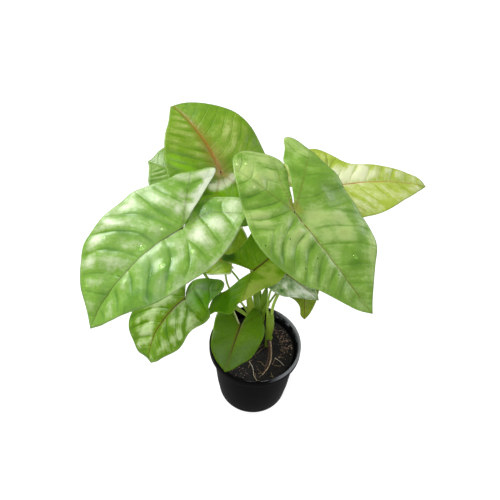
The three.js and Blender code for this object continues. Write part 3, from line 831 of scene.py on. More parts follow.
# Each drop: its place in leaf lengths and its radius in millimetres
DROPS = {
    "front_left": (
        (0.3, -0.05, 2.6), (0.56, -0.05, 1.3), (0.12, -0.07, 1.5), (0.05, 0.22, 1.8),
        (0.28, 0.18, 2.8), (0.54, 0.05, 1.0), (0.76, -0.18, 1.2), (0.44, -0.3, 0.8),
    ),
    "low_left": ((0.66, -0.41, 1.1), (0.76, -0.33, 1.2), (0.47, 0.1, 0.9), (0.09, 0.3, 1.3)),
    "front_right": (
        (0.57, 0.17, 1.9), (-0.38, -0.19, 0.8), (-0.34, -0.15, 0.9), (-0.3, -0.11, 0.7),
        (-0.6, -0.12, 0.9), (-0.56, -0.05, 0.8),
    ),
    "low_front": ((0.72, 0.22, 0.9),),
}
MIST = {"front_left": 40, "low_left": 26, "front_right": 14}  # how many fine drops
DROP_SHAPE = (1.15, 0.85, 0.65)  # its half length, half width and half height, in radii

clear_water = water()
draw = random.Random(3)
for name, drops in DROPS.items():
    bm = bmesh.new()
    sizes = list(drops)
    for _ in range(MIST.get(name, 0)):
        x = draw.uniform(0.15, 0.85)
        y = draw.choice((-1, 1)) * draw.uniform(0.02, 0.42) * (1 - x)
        sizes.append((x, y, draw.uniform(0.25, 0.55)))
    for x, y, radius in sizes:
        dome = Matrix.Diagonal((*[radius * share for share in DROP_SHAPE], 1))
        bmesh.ops.create_icosphere(
            bm, subdivisions=3, radius=1.0, matrix=seat_on_blade(name, x, y) @ dome
        )
    finish_piece(bm, f"drops_{name}", clear_water, LOOKS[name]["slot"]).visible_shadow = False

# %% [markdown]
# ## Tubes for stalks, ribs and roots
#
# Stalks, ribs and roots are all bent tubes of changing thickness. A curve with a round bevel would
# do, but a grid wrapped round the path lets each place have its own radius and keeps a pattern
# value for how far along it is. The first and last rows close to a point, so the ends are shut.

# %% Wrap a grid round a path
def path_frames(centres):
    """At each centre of a path, two directions square to it that turn as little as they can."""
    frames = []
    side = Vector((1, 0, 0.01))
    for i, centre in enumerate(centres):
        ahead = (centres[min(i + 1, len(centres) - 1)] - centres[max(i - 1, 0)]).normalized()
        side = (side - ahead * side.dot(ahead)).normalized()
        frames.append((centre, side, ahead.cross(side)))
    return frames


def lay_tube(bm, path, radius, steps, sides):
    """A closed tube. path and radius are functions of the share along it, from 0 to 1."""
    along = bm.verts.layers.float.get("along") or bm.verts.layers.float.new("along")
    frames = path_frames([path(step / steps) for step in range(steps + 1)])
    made = bmesh.ops.create_grid(bm, x_segments=sides, y_segments=steps + 2, size=0.5)["verts"]
    for vert in made:
        row = round((vert.co.y + 0.5) * (steps + 2))
        step = min(max(row - 1, 0), steps)
        turn = (vert.co.x + 0.5) * math.tau
        centre, side, up = frames[step]
        thick = 0 if row in (0, steps + 2) else radius(step / steps)
        vert.co = centre + (side * math.cos(turn) + up * math.sin(turn)) * thick
        vert[along] = step / steps
    bmesh.ops.remove_doubles(bm, verts=made, dist=0.002)


def strand_path(route):
    """A smooth path through the points of a route."""
    points = [Vector(point) for point in route]
    return lambda share: smooth_curve(points, share, even=False)


GNARL_SIZE = 2.2  # width of the bumps on a gnarled skin
noise.seed_set(1)  # without a seed the vector noise would differ from run to run


def make_strand(name, path, radius, material, slot, nodes=(), steps=60, sides=10, gnarl=0.0):
    """A piece that is one tube, its skin pushed about by up to the gnarl in millimetres."""
    bm = bmesh.new()
    lay_tube(bm, path, radius, steps, sides)
    for vert in bm.verts:
        vert.co += gnarl * Vector(noise.noise_vector(vert.co / GNARL_SIZE))
    finish_piece(bm, name, material, slot, nodes)


# %% [markdown]
# ## Petioles and the ribs under the blades
#
# A petiole is the stalk of one leaf: smooth, juicy, and pale green, with fine lines along it. It
# is stoutest at its foot, thins upwards, and swells a little into a joint under the blade, which
# lets the leaf turn to the light. It goes on as the midrib. Seen from above that is a groove, but
# below it stands out as a tapering cord that carries the blade, and two lesser ribs run into the
# lobes. All three are half sunk in the lower face.
#
# Stalks, and later dry stems, soil and bark, are each one material of two colours with a fine
# grain. They differ in gloss, in roughness and in how the colours blend, so one function makes
# them all. A value on the mesh can shift the blend: how far along a stalk it is, or a crumb's tone.

# %% Grained skins
def grained_skin(
    name, dark, light, grain, detail, blend, bump, roughness, ior, weight=1, value=None,
    stretch=(1, 1, 1),
):
    """Two colours blended by a grain of so many millimetres, and by a value on the mesh if named."""
    material, tree = new_material(name)
    place = add(tree, "TexCoord").outputs["Object"]
    seat = add(tree, "Mapping", {"Vector": place, "Scale": stretch})
    fine = add(tree, "TexNoise", {"Vector": seat, "Scale": 1 / (grain * MM), "Detail": detail})
    share = fine
    if value:
        own = add(tree, "Attribute", attribute_name=value).outputs["Fac"]
        share = add(tree, "Math", {0: fine, 1: weight, 2: own}, operation="MULTIPLY_ADD")
    share = add(tree, "MapRange", {"Value": share, "From Min": blend[0], "From Max": blend[1]})
    colour = add(
        tree, "Mix", {0: share, 6: linear(dark), 7: linear(light)}, data_type="RGBA"
    ).outputs[2]
    bumps = add(tree, "Bump", {"Strength": bump[0], "Distance": bump[1] * MM, "Height": fine})
    skin = add(
        tree,
        "BsdfPrincipled",
        {"Base Color": colour, "Roughness": roughness, "IOR": ior, "Normal": bumps},
    )
    add(tree, "OutputMaterial", {"Surface": skin})
    return material


# Smooth plant skin: a soft gloss, from one colour at the foot to another above, faintly streaked
STALK = dict(
    detail=3, blend=(0, 1), bump=(0.15, 0.1), roughness=0.36, ior=1.45, weight=0.6, value="along",
    stretch=(1, 1, 0.12),
)
petiole_skin = grained_skin("petiole skin", "#9DB347", "#86A83A", 1.2, **STALK)
rib_skin = grained_skin("under rib skin", "#A8B060", "#A3BC6C", 1.2, **STALK)

# %% The cords under each blade
RIB_REACH = 0.93  # of the leaf's length
LOBE_RIB_REACH = 0.36
RIB_TAPER = 0.85  # how much thinner a rib is at its end


def make_under_ribs(name, leaf, material, slot):
    """The midrib and both lobe ribs of a blade, as one piece."""
    bm = bmesh.new()
    length = leaf["length"]
    stout = 0.55 + length / 130  # a longer blade needs a stouter rib
    routes = [(1, Vector((RIB_REACH * length, 0)), stout)]
    for side in (-1, 1):
        angle = lobe_rib_angle(leaf, side)
        end = Vector((math.cos(angle), side * math.sin(angle))) * LOBE_RIB_REACH * length
        routes.append((side, end, 0.6 * stout))
    place_leaf = leaf_matrix(leaf)
    for side, end, thick in routes:

        def radius(share):
            return thick * (1 - RIB_TAPER * share)

        def path(share):
            return place_leaf @ blade_point(leaf, side, end * share, -0.3 - 0.9 * radius(share))

        lay_tube(bm, path, radius, steps=28, sides=8)
    finish_piece(bm, f"under_ribs_{name}", material, slot)


# %% Petioles along the frame's own routes
SOIL_TOP = 68
ROOTING_DEPTH = 12
GAP = 0.3  # pieces that touch keep this far apart, so that no two faces fight
CROWNS = {
    "left": dict(at=(-5, 14), top=98.2, radius=4.2),
    "right": dict(at=(13, 4), top=116.2, radius=3.8),
    "back": dict(at=(4, 23), top=98.2, radius=4.0),
}
# Each stalk: its crown, its foot, its radius and the places that it runs through
STALKS = {
    "front_left": (
        "left", (-6.4, 10.5), 1.35, [(-20, 13, 117), (-37, 13.5, 138), (-49, 13, 162), (-60, 13, 198)]
    ),
    "front_right": (
        "right", (13.4, 4.4), 1.35,
        [(14.6, 9, 129), (24, 24, 145), (35, 37, 163), (37, 37, 188), (32, 33, 212)],
    ),
    "back_left": ("back", (1.4, 23.6), 1.35, [(-4, 46, 122), (-20, 76, 162), (-35, 88, 206)]),
    "right": ("back", (5.2, 25.8), 1.35, [(8, 36, 118), (26, 64, 148), (48, 93, 176)]),
    "left": (
        "left", (-7.6, 16.8), 1.0, [(-17, 28, 106), (-29, 38, 115), (-36, 56, 136), (-52, 84, 172)]
    ),
    "low_left": (
        "left", (-8.6, 13), 1.0, [(-14, 16, 103), (-23, 19.5, 106), (-33, 20.5, 111), (-43, 14, 126)]
    ),
    "low_front": (None, (-7, 4), 1.0, [(-6.5, 4, 84), (-9, 3, 99)]),
    "middle": ("left", (-5, 14), 1.6, [(-7, 16, 118), (-9, 16, 142)]),
    "inner_right": ("right", (10.2, 3.6), 1.0, [(9.2, 8, 124), (11, 17, 138), (19, 20, 150)]),
    "inner_left": ("left", (-3.4, 17.5), 1.0, [(-9, 26, 110), (-19, 36, 128)]),
    "low_right": ("back", (6.6, 21.8), 1.0, [(13, 28, 110), (25, 39, 125), (37, 45, 135)]),
}


def stalk_path(name):
    """The path of a petiole, from its crown or the soil up to the underside of its blade."""
    crown, foot, _, via = STALKS[name]
    foot_height = CROWNS[crown]["top"] + GAP if crown else SOIL_TOP - ROOTING_DEPTH
    upright = foot_height + 3 if crown else SOIL_TOP + 3
    # The end comes up to the lower face, square to it
    under = [
        leaf_matrix(LEAVES[name]) @ blade_point(LEAVES[name], 1, Vector((JOINT_AHEAD, 0)), lift)
        for lift in (-4.8, -0.5)
    ]
    return strand_path([(*foot, foot_height), (*foot, upright), *via, *under])


def make_petiole(name, material):
    """One leaf's stalk, with its swollen joint."""
    radius = STALKS[name][2]

    def thickness(share):
        swelling = 0.16 * math.exp(-(((share - 0.94) / 0.045) ** 2))
        return radius * (1.12 - 0.24 * share + swelling)

    nodes = [f"petiole_{name}"]
    make_strand(
        f"stalk_{name}", stalk_path(name), thickness, material, "petiole", nodes, steps=70, sides=16
    )


for name, leaf in LEAVES.items():
    make_petiole(name, petiole_skin)
    make_under_ribs(name, leaf, rib_skin, LOOKS[name]["slot"])

# %% [markdown]
# ## Crowns
#
# The crown is the short stem of the plant. It can't be seen bare, because each petiole's foot is a
# sheath that wraps the younger ones. We lay a core and one stub for every petiole, then let a voxel
# remesh fuse them, which also gives the soft valleys where the sheaths meet. Thin papery wings
# stand beside each stub, closed in front and open behind. A remesh would lose them, so they are
# added after it.

# %% Fuse closed parts into one skin
def fused(bm, voxel):
    """The bmesh's closed parts joined into one skin by a voxel remesh, as a new bmesh."""
    bmesh.ops.recalc_face_normals(bm, faces=bm.faces)
    mesh = bpy.data.meshes.new("to fuse")
    bm.to_mesh(mesh)
    bm.free()
    holder = bpy.data.objects.new("to fuse", mesh)
    bpy.context.scene.collection.objects.link(holder)
    remesh = holder.modifiers.new("fuse", "REMESH")
    remesh.mode = "VOXEL"
    remesh.voxel_size = voxel
    joined = bmesh.new()
    joined.from_object(holder, bpy.context.evaluated_depsgraph_get())
    bpy.data.objects.remove(holder)
    for _ in range(2):
        bmesh.ops.smooth_vert(
            joined, verts=joined.verts, factor=0.5, use_axis_x=True, use_axis_y=True, use_axis_z=True
        )
    return joined


# %% Sheath wings
WING_ROWS = 20
WING_COLUMNS = 28
WING_WRAP = 100  # degrees that each wing turns round its petiole, from the front
WING_THICKNESS = 0.24
# How far up its petiole each pair of wings reaches, and how wide it flares in millimetres
WINGS = {
    "middle": (0.6, 2.0), "back_left": (0.42, 3.6), "right": (0.34, 3.0), "low_right": (0.3, 1.6),
    "front_right": (0.12, 0.7), "inner_right": (0.3, 0.5), "inner_left": (0.3, 1.2),
}
PLAIN_WINGS = (0.2, 0.8)  # those of the other petioles


def lay_wings(bm, path, radius, reach, flare):
    """The two papery wings beside a petiole's foot: one sheet, closed in front and open behind."""
    made = bmesh.ops.create_grid(
        bm, x_segments=WING_COLUMNS, y_segments=2 * WING_ROWS, size=0.5
    )["verts"]
    frames = path_frames([path(reach * row / WING_ROWS) for row in range(WING_ROWS + 1)])
    for vert in made:
        row = round((vert.co.y + 0.5) * 2 * WING_ROWS)
        half_thick = (-1 if row > WING_ROWS else 1) * WING_THICKNESS / 2
        row = min(row, 2 * WING_ROWS - row)
        low_share = 1 - row / WING_ROWS
        centre, side, up = frames[row]
        across = 2 * vert.co.x
        turn = -math.pi / 2 + across * (0.1 + math.radians(WING_WRAP) * low_share**0.3)
        stand = radius + 0.1 + flare * abs(across) ** 1.4 * low_share**0.35
        stand += half_thick * min(1.0, 4 * (1 - abs(across)))
        vert.co = centre + (side * math.cos(turn) + up * math.sin(turn)) * stand
    bmesh.ops.remove_doubles(bm, verts=made, dist=0.004)


# %% Make the crowns
VOXEL = 0.35
SHEATH_FLARE = 1.25  # a sheath's top is this much stouter than its petiole


def make_crown(name, crown, material):
    """A crown: its core and sheaths in one skin, and the sheaths' wings."""
    bm = bmesh.new()
    stalks = [stalk for stalk, (owner, *_) in STALKS.items() if owner == name]
    centre = Vector((*crown["at"], 0))
    bottom = Vector((0, 0, SOIL_TOP - ROOTING_DEPTH + GAP))
    top = Vector((0, 0, crown["top"]))
    core = [centre + bottom, centre + (bottom + top) / 2, centre + top - Vector((0, 0, 2))]

    # The core swells towards its top, and has the ring of an old node lower down
    def core_radius(share):
        swelling = 0.3 * math.exp(-(((share - 0.78) / 0.16) ** 2))
        node = 0.25 * math.exp(-(((share - 0.42) / 0.03) ** 2))
        return crown["radius"] * (0.75 + swelling + node)

    lay_tube(bm, strand_path(core), core_radius, steps=60, sides=24)
    for stalk in stalks:
        _, foot, radius, _ = STALKS[stalk]
        path = stalk_path(stalk)
        aside = Vector((*foot, 0)) - centre
        route = [
            centre + 0.3 * aside + bottom,
            centre + 0.5 * aside + Vector((0, 0, SOIL_TOP + 4)),
            centre + 0.85 * aside + top - Vector((0, 0, 9)),
            *(path(share) for share in (0, 0.05, 0.11)),
        ]
        low, high = crown["radius"] * 0.55, radius * SHEATH_FLARE
        lay_tube(
            bm, strand_path(route), lambda share: low + (high - low) * share**1.5, steps=30, sides=16
        )
    bm = fused(bm, VOXEL)
    print(f"crown {name} fused: {len(bm.faces)} faces")
    for stalk in stalks:
        lay_wings(
            bm, stalk_path(stalk), STALKS[stalk][2] * SHEATH_FLARE, *WINGS.get(stalk, PLAIN_WINGS)
        )
    finish_piece(bm, f"sheaths_{name}", material, "sheath", [f"crown_{name}"])


# One sheath skin in three tones: the darker ones at the right and at the back are painted shade
sheath_skins = {
    "left": grained_skin("pale leaf sheath skin", "#7C9A26", "#AEC044", 1.2, **STALK),
    "right": grained_skin("leaf sheath skin", "#64861C", "#9CB23C", 1.2, **STALK),
    "back": grained_skin("shaded leaf sheath skin", "#5E8A14", "#A0BC34", 1.2, **STALK),
}
for name, crown in CROWNS.items():
    make_crown(name, crown, sheath_skins[name])

# %% [markdown]
# ## Old stem and roots
#
# The plant was grown from a cutting. Its old stem has dried to a brown, fibrous strand that lies
# forward over the soil, beside a barer one that has split from it, and pale roots have crept over
# the top.

# %% Dry stem and root materials
# Dry plant skin: matt and fibrous, mottled in patches of the grain's size
DRY = dict(detail=5, blend=(0.35, 0.65), bump=(0.5, 0.3), roughness=0.75, ior=1.5)
dry_bark = grained_skin("dry stem bark", "#1C0F08", "#523420", 1.5, **DRY)
strand_skin = grained_skin("bare stem strand", "#7A6040", "#B8A284", 1.5, **DRY)
root_skin = grained_skin("pale root skin", "#8C8470", "#C4BCA6", 1.2, **DRY)

# %% Lay the old stem and the roots
OLD_STEM = [(12.9, -0.4, 82.5), (13.1, -4, 82.2), (14, -10, 76), (13, -17, 71.6), (10, -26, 70.5)]
OLD_STRAND = [(14.6, -2, 84), (16, -9, 76.5), (15.6, -17, 72), (12.4, -25, 70.6), (8, -31, 69.5)]
ROOTS = {
    "root_front": [(-5, -16, 68.9), (-1, -24, 69.2), (0, -31, 68.9), (3, -37, 69)],
    "root_right": [(20, -11, 68.9), (24, -14, 69.3), (29, -19, 68.9)],
}

make_strand(
    "old_stem_bark", strand_path(OLD_STEM),
    lambda share: 1.7 - 0.9 * share + 0.3 * noise.noise((share * 9, 2, 5)),
    dry_bark, "dry_stem", ["old_stem"], sides=18, gnarl=0.25,
)
make_strand(
    "old_stem_strand", strand_path(OLD_STRAND), lambda share: 0.75 - 0.3 * share,
    strand_skin, "dry_stem", steps=50, gnarl=0.15,
)
for name, route in ROOTS.items():
    make_strand(
        f"{name}_skin", strand_path(route),
        lambda share: 0.38 - 0.14 * share + 0.08 * noise.noise((share * 14, 7, 1)),
        root_skin, "pale_root", [name],
    )

# %% [markdown]
# ## Nursery pot
#
# A grower's pot is one thin shell of black polypropylene, moulded with a smooth band under a rolled
# rim, and with a wall that steps in below the band. We spin the wall's section round the Z axis.
# The floor has drain holes, which a spin can't give, so the wall is left open below and the two
# faces of the floor are filled round the holes. Potting dust and a painted reflection grey the
# inside of the mouth on the right, and a painted sheen greys the top of the rim on the right. Both
# are masks on height and on the way across the pot.

# %% Pot material
SCUFF_SIZE = 5


def moulded_plastic():
    """Black moulded polypropylene: a soft gloss and scuffs, with potting dust and a painted reflection
    inside the mouth and a painted sheen on the rim.
    """
    material, tree = new_material("moulded black polypropylene")
    place = add(tree, "TexCoord").outputs["Object"]
    level = add(tree, "Mapping", {"Vector": place, "Scale": (0.6, 0.6, 2.5)})
    scuffs = add(
        tree,
        "TexNoise",
        {"Vector": level, "Scale": 1 / (SCUFF_SIZE * MM), "Detail": 6, "Roughness": 0.7},
    )
    seat = add(tree, "SeparateXYZ", {0: place}).outputs
    aside = add(tree, "VectorMath", {0: place, 1: (1, 1, 0)}, operation="MULTIPLY")
    out = add(tree, "VectorMath", {0: aside}, operation="LENGTH").outputs["Value"]
    # Potting dust and a painted reflection on the inside of the mouth, towards the right
    dust_and_painted_reflection = (
        (scuffs, 0.46, 0.6),
        (out, 44.0 * MM, 43.4 * MM),
        (seat["Z"], 70 * MM, 72 * MM),
        (seat["X"], -20 * MM, 20 * MM),
    )
    # A painted sheen on the top of the rim, on the right
    painted_rim_sheen = ((seat["Z"], 74.5 * MM, 76.5 * MM), (seat["X"], 12 * MM, 32 * MM))
    amounts = []
    for amount, limits in ((1.0, dust_and_painted_reflection), (0.85, painted_rim_sheen)):
        for value, start, full in limits:
            share = add(
                tree,
                "MapRange",
                {"Value": value, "From Min": start, "From Max": full},
                interpolation_type="SMOOTHSTEP",
            )
            amount = add(tree, "Math", {0: share, 1: amount}, operation="MULTIPLY")
        amounts.append(amount)
    dust_and_painted_sheen = add(tree, "Math", {0: amounts[0], 1: amounts[1]}, operation="MAXIMUM")
    colour = add(
        tree,
        "Mix",
        {0: dust_and_painted_sheen, 6: linear("#0A0A0B"), 7: linear("#8E9096")},
        data_type="RGBA",
    ).outputs[2]
    roughness = add(tree, "MapRange", {"Value": scuffs, "To Min": 0.18, "To Max": 0.5})
    bump = add(tree, "Bump", {"Strength": 0.2, "Distance": 0.2 * MM, "Height": scuffs})
    skin = add(
        tree,
        "BsdfPrincipled",
        {
            "Base Color": colour,
            "Roughness": roughness,
            "IOR": 1.49,
            "Specular IOR Level": 0.025,
            "Normal": bump,
        },
    )
    add(tree, "OutputMaterial", {"Surface": skin})
    return material


# %% Sections to spin
ROUND_STEPS = 120  # in one turn of anything round


def rounded(middle, radius, start, end, steps=5):
    """Points of a rounded corner in the section: an arc between two angles, in degrees."""
    angles = [math.radians(start + (end - start) * i / steps) for i in range(steps + 1)]
    return [(middle[0] + radius * math.cos(a), middle[1] + radius * math.sin(a)) for a in angles]


def spin_section(bm, section):
    """Turns a section of (radius, height) points round the Z axis into a skin."""
    points = [bm.verts.new((radius, 0, height)) for radius, height in section]
    edges = [bm.edges.new(pair) for pair in zip(points, points[1:])]
    bmesh.ops.spin(
        bm, geom=points + edges, axis=(0, 0, 1), cent=(0, 0, 0), angle=math.tau, steps=ROUND_STEPS,
        use_merge=True,
    )
    bmesh.ops.remove_doubles(bm, verts=bm.verts, dist=0.001)


# %% Spin the pot's wall and fill its floor
POT_HEIGHT = 78
RIM_RADIUS = 45
BAND_HEIGHT = 8
BAND_CORNER = 0.6
FOOT_RADIUS = 34.8
FOOT_CORNER = 1.2
NECK_RADIUS = 40.2  # the wall just under the band
NECK_HEIGHT = 67
LIP_RADIUS = 1.2
WALL = 1.4
FLOOR = 2.4
DRAIN_HOLES = 5
DRAIN_RADIUS = 3.5
DRAIN_CIRCLE = 22


def inner_radius(height):
    """Radius of the wall's inner face at a height."""
    return FOOT_RADIUS + (NECK_RADIUS - FOOT_RADIUS) * height / NECK_HEIGHT - WALL


def make_pot():
    """The pot's wall and floor, with its drain holes."""
    band_bottom = POT_HEIGHT - BAND_HEIGHT
    inner_foot = (inner_radius(FLOOR) - FOOT_CORNER, FLOOR + FOOT_CORNER)
    section = [
        *rounded((FOOT_RADIUS - FOOT_CORNER, FOOT_CORNER), FOOT_CORNER, 270, 355),
        (FOOT_RADIUS + 2.4, 20),  # the wall bellies out a little on its way up
        (FOOT_RADIUS + 4.0, 40),
        (NECK_RADIUS, NECK_HEIGHT - 3),
        *rounded((NECK_RADIUS + 0.9, band_bottom - 0.9), BAND_CORNER, 180, 90, 3),
        *rounded((RIM_RADIUS - BAND_CORNER, band_bottom + 0.4), BAND_CORNER, 270, 360, 3),
        *rounded((RIM_RADIUS - LIP_RADIUS, POT_HEIGHT - LIP_RADIUS), LIP_RADIUS, 0, 180, 10),
        (RIM_RADIUS - 2 * LIP_RADIUS, band_bottom + 1.5),
        (inner_radius(NECK_HEIGHT), NECK_HEIGHT),
        (inner_radius(40), 40),
        *rounded(inner_foot, FOOT_CORNER, 355, 270),
    ]
    bm = bmesh.new()
    spin_section(bm, section)
    turns = [Matrix.Rotation(math.tau * hole / DRAIN_HOLES, 4, "Z") for hole in range(DRAIN_HOLES)]
    for level in (0.0, FLOOR):
        for turn in turns:
            spot = turn @ Matrix.Translation((DRAIN_CIRCLE, 0, level))
            bmesh.ops.create_circle(bm, segments=28, radius=DRAIN_RADIUS, matrix=spot)
        open_edges = [
            edge
            for edge in bm.edges
            if len(edge.link_faces) < 2 and all(abs(v.co.z - level) < 0.01 for v in edge.verts)
        ]
        bmesh.ops.triangle_fill(bm, edges=open_edges, use_beauty=True)
    open_edges = [edge for edge in bm.edges if len(edge.link_faces) == 1]
    for turn in turns:
        middle = turn @ Vector((DRAIN_CIRCLE, 0, 0))
        ring = [
            edge
            for edge in open_edges
            if (edge.verts[0].co.xy - middle.xy).length < DRAIN_RADIUS + 0.1
        ]
        bmesh.ops.bridge_loops(bm, edges=ring)
    print("open edges left in the pot:", sum(1 for e in bm.edges if len(e.link_faces) != 2))
    finish_piece(bm, "nursery_pot", moulded_plastic(), "pot_plastic", ["pot"])


make_pot()

# %% [markdown]
# ## Potting soil
#
# The mix is peat and composted bark: a dark, crumbly surface with lighter chips. The bed itself is
# one spun solid whose top is roughened with noise. Crumbs, chips and fibres are scattered over it
# as real small pieces, because at this distance the eye counts them. A few specks of soil were
# splashed onto a leaf when the plant was watered.

# %% Soil, bark and fibre materials
# Peat and bark crumbs: matt and rough, from one brown to another by each crumb's own tone
CRUMBLY = dict(
    detail=6, blend=(0.35, 1.3), bump=(0.9, 0.6), roughness=0.9, ior=1.5, weight=0.7, value="tone"
)
peat = grained_skin("peat crumbs", "#040302", "#1E1612", 1.6, **CRUMBLY)
bark = grained_skin("composted bark chips", "#5A4034", "#CDB0A0", 1.0, **CRUMBLY)
fibre = grained_skin("coir fibres", "#8A7350", "#DCCDA8", 1.0, **CRUMBLY)

# %% The bed of soil
CLODS = ((0.9, 7, 3), (0.5, 2.4, 8))  # height and width of the soil's lumps, and their seed
SOIL_SINK = 1.2  # the bed is this much lower near the wall
SINK_RADIUS = 40
SOIL_RINGS = 44


def on_soil(x, y, lift=0.0):
    """A place on the soil's rough top, or so much above it."""
    rough = sum(height * noise.noise((x / size, y / size, seed)) for height, size, seed in CLODS)
    sunk = SOIL_SINK * (math.hypot(x, y) / SINK_RADIUS) ** 4
    return Vector((x, y, SOIL_TOP + 0.2 + rough - sunk + lift))


bm = bmesh.new()
edge_radius = inner_radius(SOIL_TOP) - 0.1
section = [
    (0.0, FLOOR + GAP),
    (inner_radius(FLOOR) - 1.6, FLOOR + GAP),
    (inner_radius(30) - GAP, 30),
    (edge_radius, SOIL_TOP - 2),
    *[(edge_radius * (1 - i / SOIL_RINGS), SOIL_TOP) for i in range(SOIL_RINGS + 1)],
]
spin_section(bm, section)
for vert in bm.verts:
    if vert.co.z > SOIL_TOP - 0.1:
        vert.co = on_soil(vert.co.x, vert.co.y)
bm.verts.layers.float.new("tone")  # all 0, which is the darkest
finish_piece(bm, "soil_bed", peat, "potting_soil", ["soil"])

# %% Scatter crumbs and chips
SCATTER_REACH = 37.2
CHIPS_ANYWHERE = 0.15  # share of the chips that may lie anywhere
CHIPS_AT_RIGHT = 0.88  # share of the others that lie at the right
CRUMB_JITTER = 0.22  # how far a crumb's corners are pushed, in its sizes


def scatter_spot(random_draw, reach=SCATTER_REACH):
    """A random place on the soil."""
    angle = random_draw.uniform(0, math.tau)
    out = reach * math.sqrt(random_draw.uniform(0, 1))
    return on_soil(out * math.cos(angle), out * math.sin(angle))


def chip_spot(random_draw):
    """Most chips lie at the right, and some at the front left, near the wall."""
    if random_draw.random() < CHIPS_ANYWHERE:
        return scatter_spot(random_draw)
    at_right = random_draw.random() < CHIPS_AT_RIGHT
    angle = math.radians(random_draw.gauss(22, 24) if at_right else random_draw.gauss(240, 12))
    out = random_draw.uniform(26, 37)
    return on_soil(out * math.cos(angle), out * math.sin(angle), lift=0.2)


def scatter_crumbs(name, material, count, sizes, widths, seed, tones, spot=scatter_spot):
    """Many small lumps, each of its own size, width, turn and tone."""
    draw = random.Random(seed)
    bm = bmesh.new()
    tone = bm.verts.layers.float.new("tone")
    for _ in range(count):
        place = Matrix.Translation(spot(draw))
        size = draw.uniform(*sizes)
        width = size * draw.uniform(*widths)
        shape = Matrix.Diagonal((size, width, size * draw.uniform(0.4, 0.8), 1))
        turn = Matrix.Rotation(draw.uniform(0, math.tau), 4, "Z")
        turn @= Matrix.Rotation(draw.gauss(0, 0.4), 4, "X")
        made = bmesh.ops.create_icosphere(
            bm, subdivisions=1, radius=1.0, matrix=place @ turn @ shape
        )["verts"]
        shade = draw.uniform(*tones)
        for vert in made:
            push = Vector((draw.gauss(0, 1), draw.gauss(0, 1), draw.gauss(0, 0.6)))
            vert.co += CRUMB_JITTER * size * push
            vert[tone] = shade
    finish_piece(bm, name, material, "potting_soil", smooth=False)


scatter_crumbs("soil_crumbs", peat, 900, (0.5, 1.5), (0.6, 1.0), 5, (0.0, 0.8))
scatter_crumbs("bark_chips", bark, 340, (0.25, 0.85), (0.3, 0.6), 8, (0.0, 0.7), chip_spot)

# %% Specks on a leaf, and fibres on the soil
SPECKS = ((0.16, -0.19), (0.4, -0.1), (0.41, -0.24), (0.1, -0.4), (0.6, -0.04))  # leaf lengths
FIBRES = 34
FIBRE_REACH = 37  # fibres are kept inside this radius
FIBRE_STEPS = 3  # each wanders on in so many steps

bm = bmesh.new()
for x, y in SPECKS:
    spot = seat_on_blade("front_right", x, y) @ Matrix.Diagonal((0.7, 0.55, 0.3, 1))
    bmesh.ops.create_icosphere(bm, subdivisions=1, radius=1.0, matrix=spot)
finish_piece(bm, "soil_specks", peat, "potting_soil", smooth=False)

draw = random.Random(21)
bm = bmesh.new()
for _ in range(FIBRES):
    start = scatter_spot(draw, FIBRE_REACH - 2)
    heading = draw.uniform(0, math.tau)
    length = draw.uniform(4, 13)
    route = [start + Vector((0, 0, 0.7))]
    for step in range(FIBRE_STEPS):
        heading += draw.gauss(0, 0.5)
        ahead = route[-1].xy + Vector((math.cos(heading), math.sin(heading))) * length / FIBRE_STEPS
        if ahead.length > FIBRE_REACH:
            ahead *= FIBRE_REACH / ahead.length
        route.append(on_soil(*ahead, lift=draw.uniform(0.3, 1.2)))
    lay_tube(bm, strand_path(route), lambda share: 0.2, steps=10, sides=5)
finish_piece(bm, "coir_fibres", fibre, "potting_soil")

# %% [markdown]
# ## Floor, light and camera
#
# The plant stands on a plain pale floor in soft light: a white sky all round, one large soft box
# high at the back left, which draws the shine on the leaves, a weaker one in front, and a small one
# at the back right for their rims. The sky is white where the camera sees it, but lights the plant
# less than that, so that the soft boxes can model the leaves. Places here are in metres.

# %% Floor
bm = bmesh.new()
bmesh.ops.create_grid(bm, x_segments=1, y_segments=1, size=6)
floor_mesh = bpy.data.meshes.new("studio floor")
bm.to_mesh(floor_mesh)
bm.free()
paper, tree = new_material("white studio paper")
sheet = add(
    tree,
    "BsdfPrincipled",
    {
        "Base Color": linear("#A8A8A8"),
        "Roughness": 0.9,
        "Emission Color": linear("#FFFFFF"),
        "Emission Strength": 0.8,
    },
)
add(tree, "OutputMaterial", {"Surface": sheet})
floor_mesh.materials.append(paper)
floor = bpy.data.objects.new("studio_floor", floor_mesh)
bpy.context.scene.collection.objects.link(floor)
floor.visible_glossy = False  # black plastic would mirror a floor that is so bright

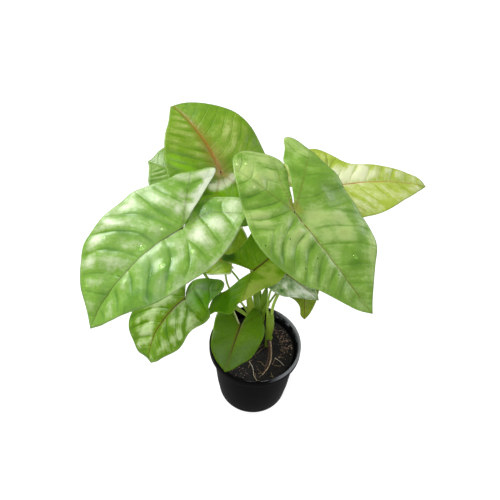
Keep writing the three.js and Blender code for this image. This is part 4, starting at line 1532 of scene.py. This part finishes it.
# %% World and lamps
SKY_LIGHT = 0.3  # how brightly the sky lights the plant
SKY_SEEN = 1.0  # how brightly it shows behind the plant
PLANT_MIDDLE = Vector((0, 0.05, 0.15))

world = bpy.data.worlds.new("white studio")
world.use_nodes = True
sky = world.node_tree.nodes["Background"]
sky.inputs["Color"].default_value = linear("#FFFFFF")
seen = add(world.node_tree, "LightPath").outputs["Is Camera Ray"]
brightness = add(
    world.node_tree, "MapRange", {"Value": seen, "To Min": SKY_LIGHT, "To Max": SKY_SEEN}
)
world.node_tree.links.new(brightness.outputs[0], sky.inputs["Strength"])
bpy.context.scene.world = world


def hang_soft_box(name, place, size, energy):
    """A round soft box that faces the plant."""
    lamp_data = bpy.data.lights.new(name, "AREA")
    lamp_data.shape = "DISK"
    lamp_data.size = size
    lamp_data.energy = energy
    lamp = bpy.data.objects.new(name, lamp_data)
    lamp.location = place
    lamp.rotation_euler = (PLANT_MIDDLE - lamp.location).to_track_quat("-Z", "Y").to_euler()
    bpy.context.scene.collection.objects.link(lamp)


hang_soft_box("key_soft_box", (-1.1, 0.7, 1.1), 0.8, 24)
hang_soft_box("front_soft_box", (-0.3, -0.9, 1.5), 1.2, 12)
hang_soft_box("rim_soft_box", (1.1, 0.6, 0.8), 0.5, 5)
bpy.context.scene.view_settings.view_transform = "Standard"

# %% Camera
AIM = Vector((-10.06, 121.46, 78)) * MM
DISTANCE = 668.54 * MM
PITCH = math.radians(47.69)
ROLL = math.radians(3.13)
LENS = 43.2
SENSOR = 36

back = Vector((0, -math.cos(PITCH), math.sin(PITCH)))
right = Vector((1, 0, 0))
level = Matrix((right, back.cross(right), back)).transposed()
camera_data = bpy.data.cameras.new("camera")
camera_data.lens = LENS
camera_data.sensor_width = SENSOR
camera = bpy.data.objects.new("camera", camera_data)
turn = (level @ Matrix.Rotation(ROLL, 3, "Z")).to_4x4()
camera.matrix_world = Matrix.Translation(AIM + back * DISTANCE) @ turn
bpy.context.scene.collection.objects.link(camera)
bpy.context.scene.camera = camera
print("camera at", [round(value, 3) for value in camera.location])
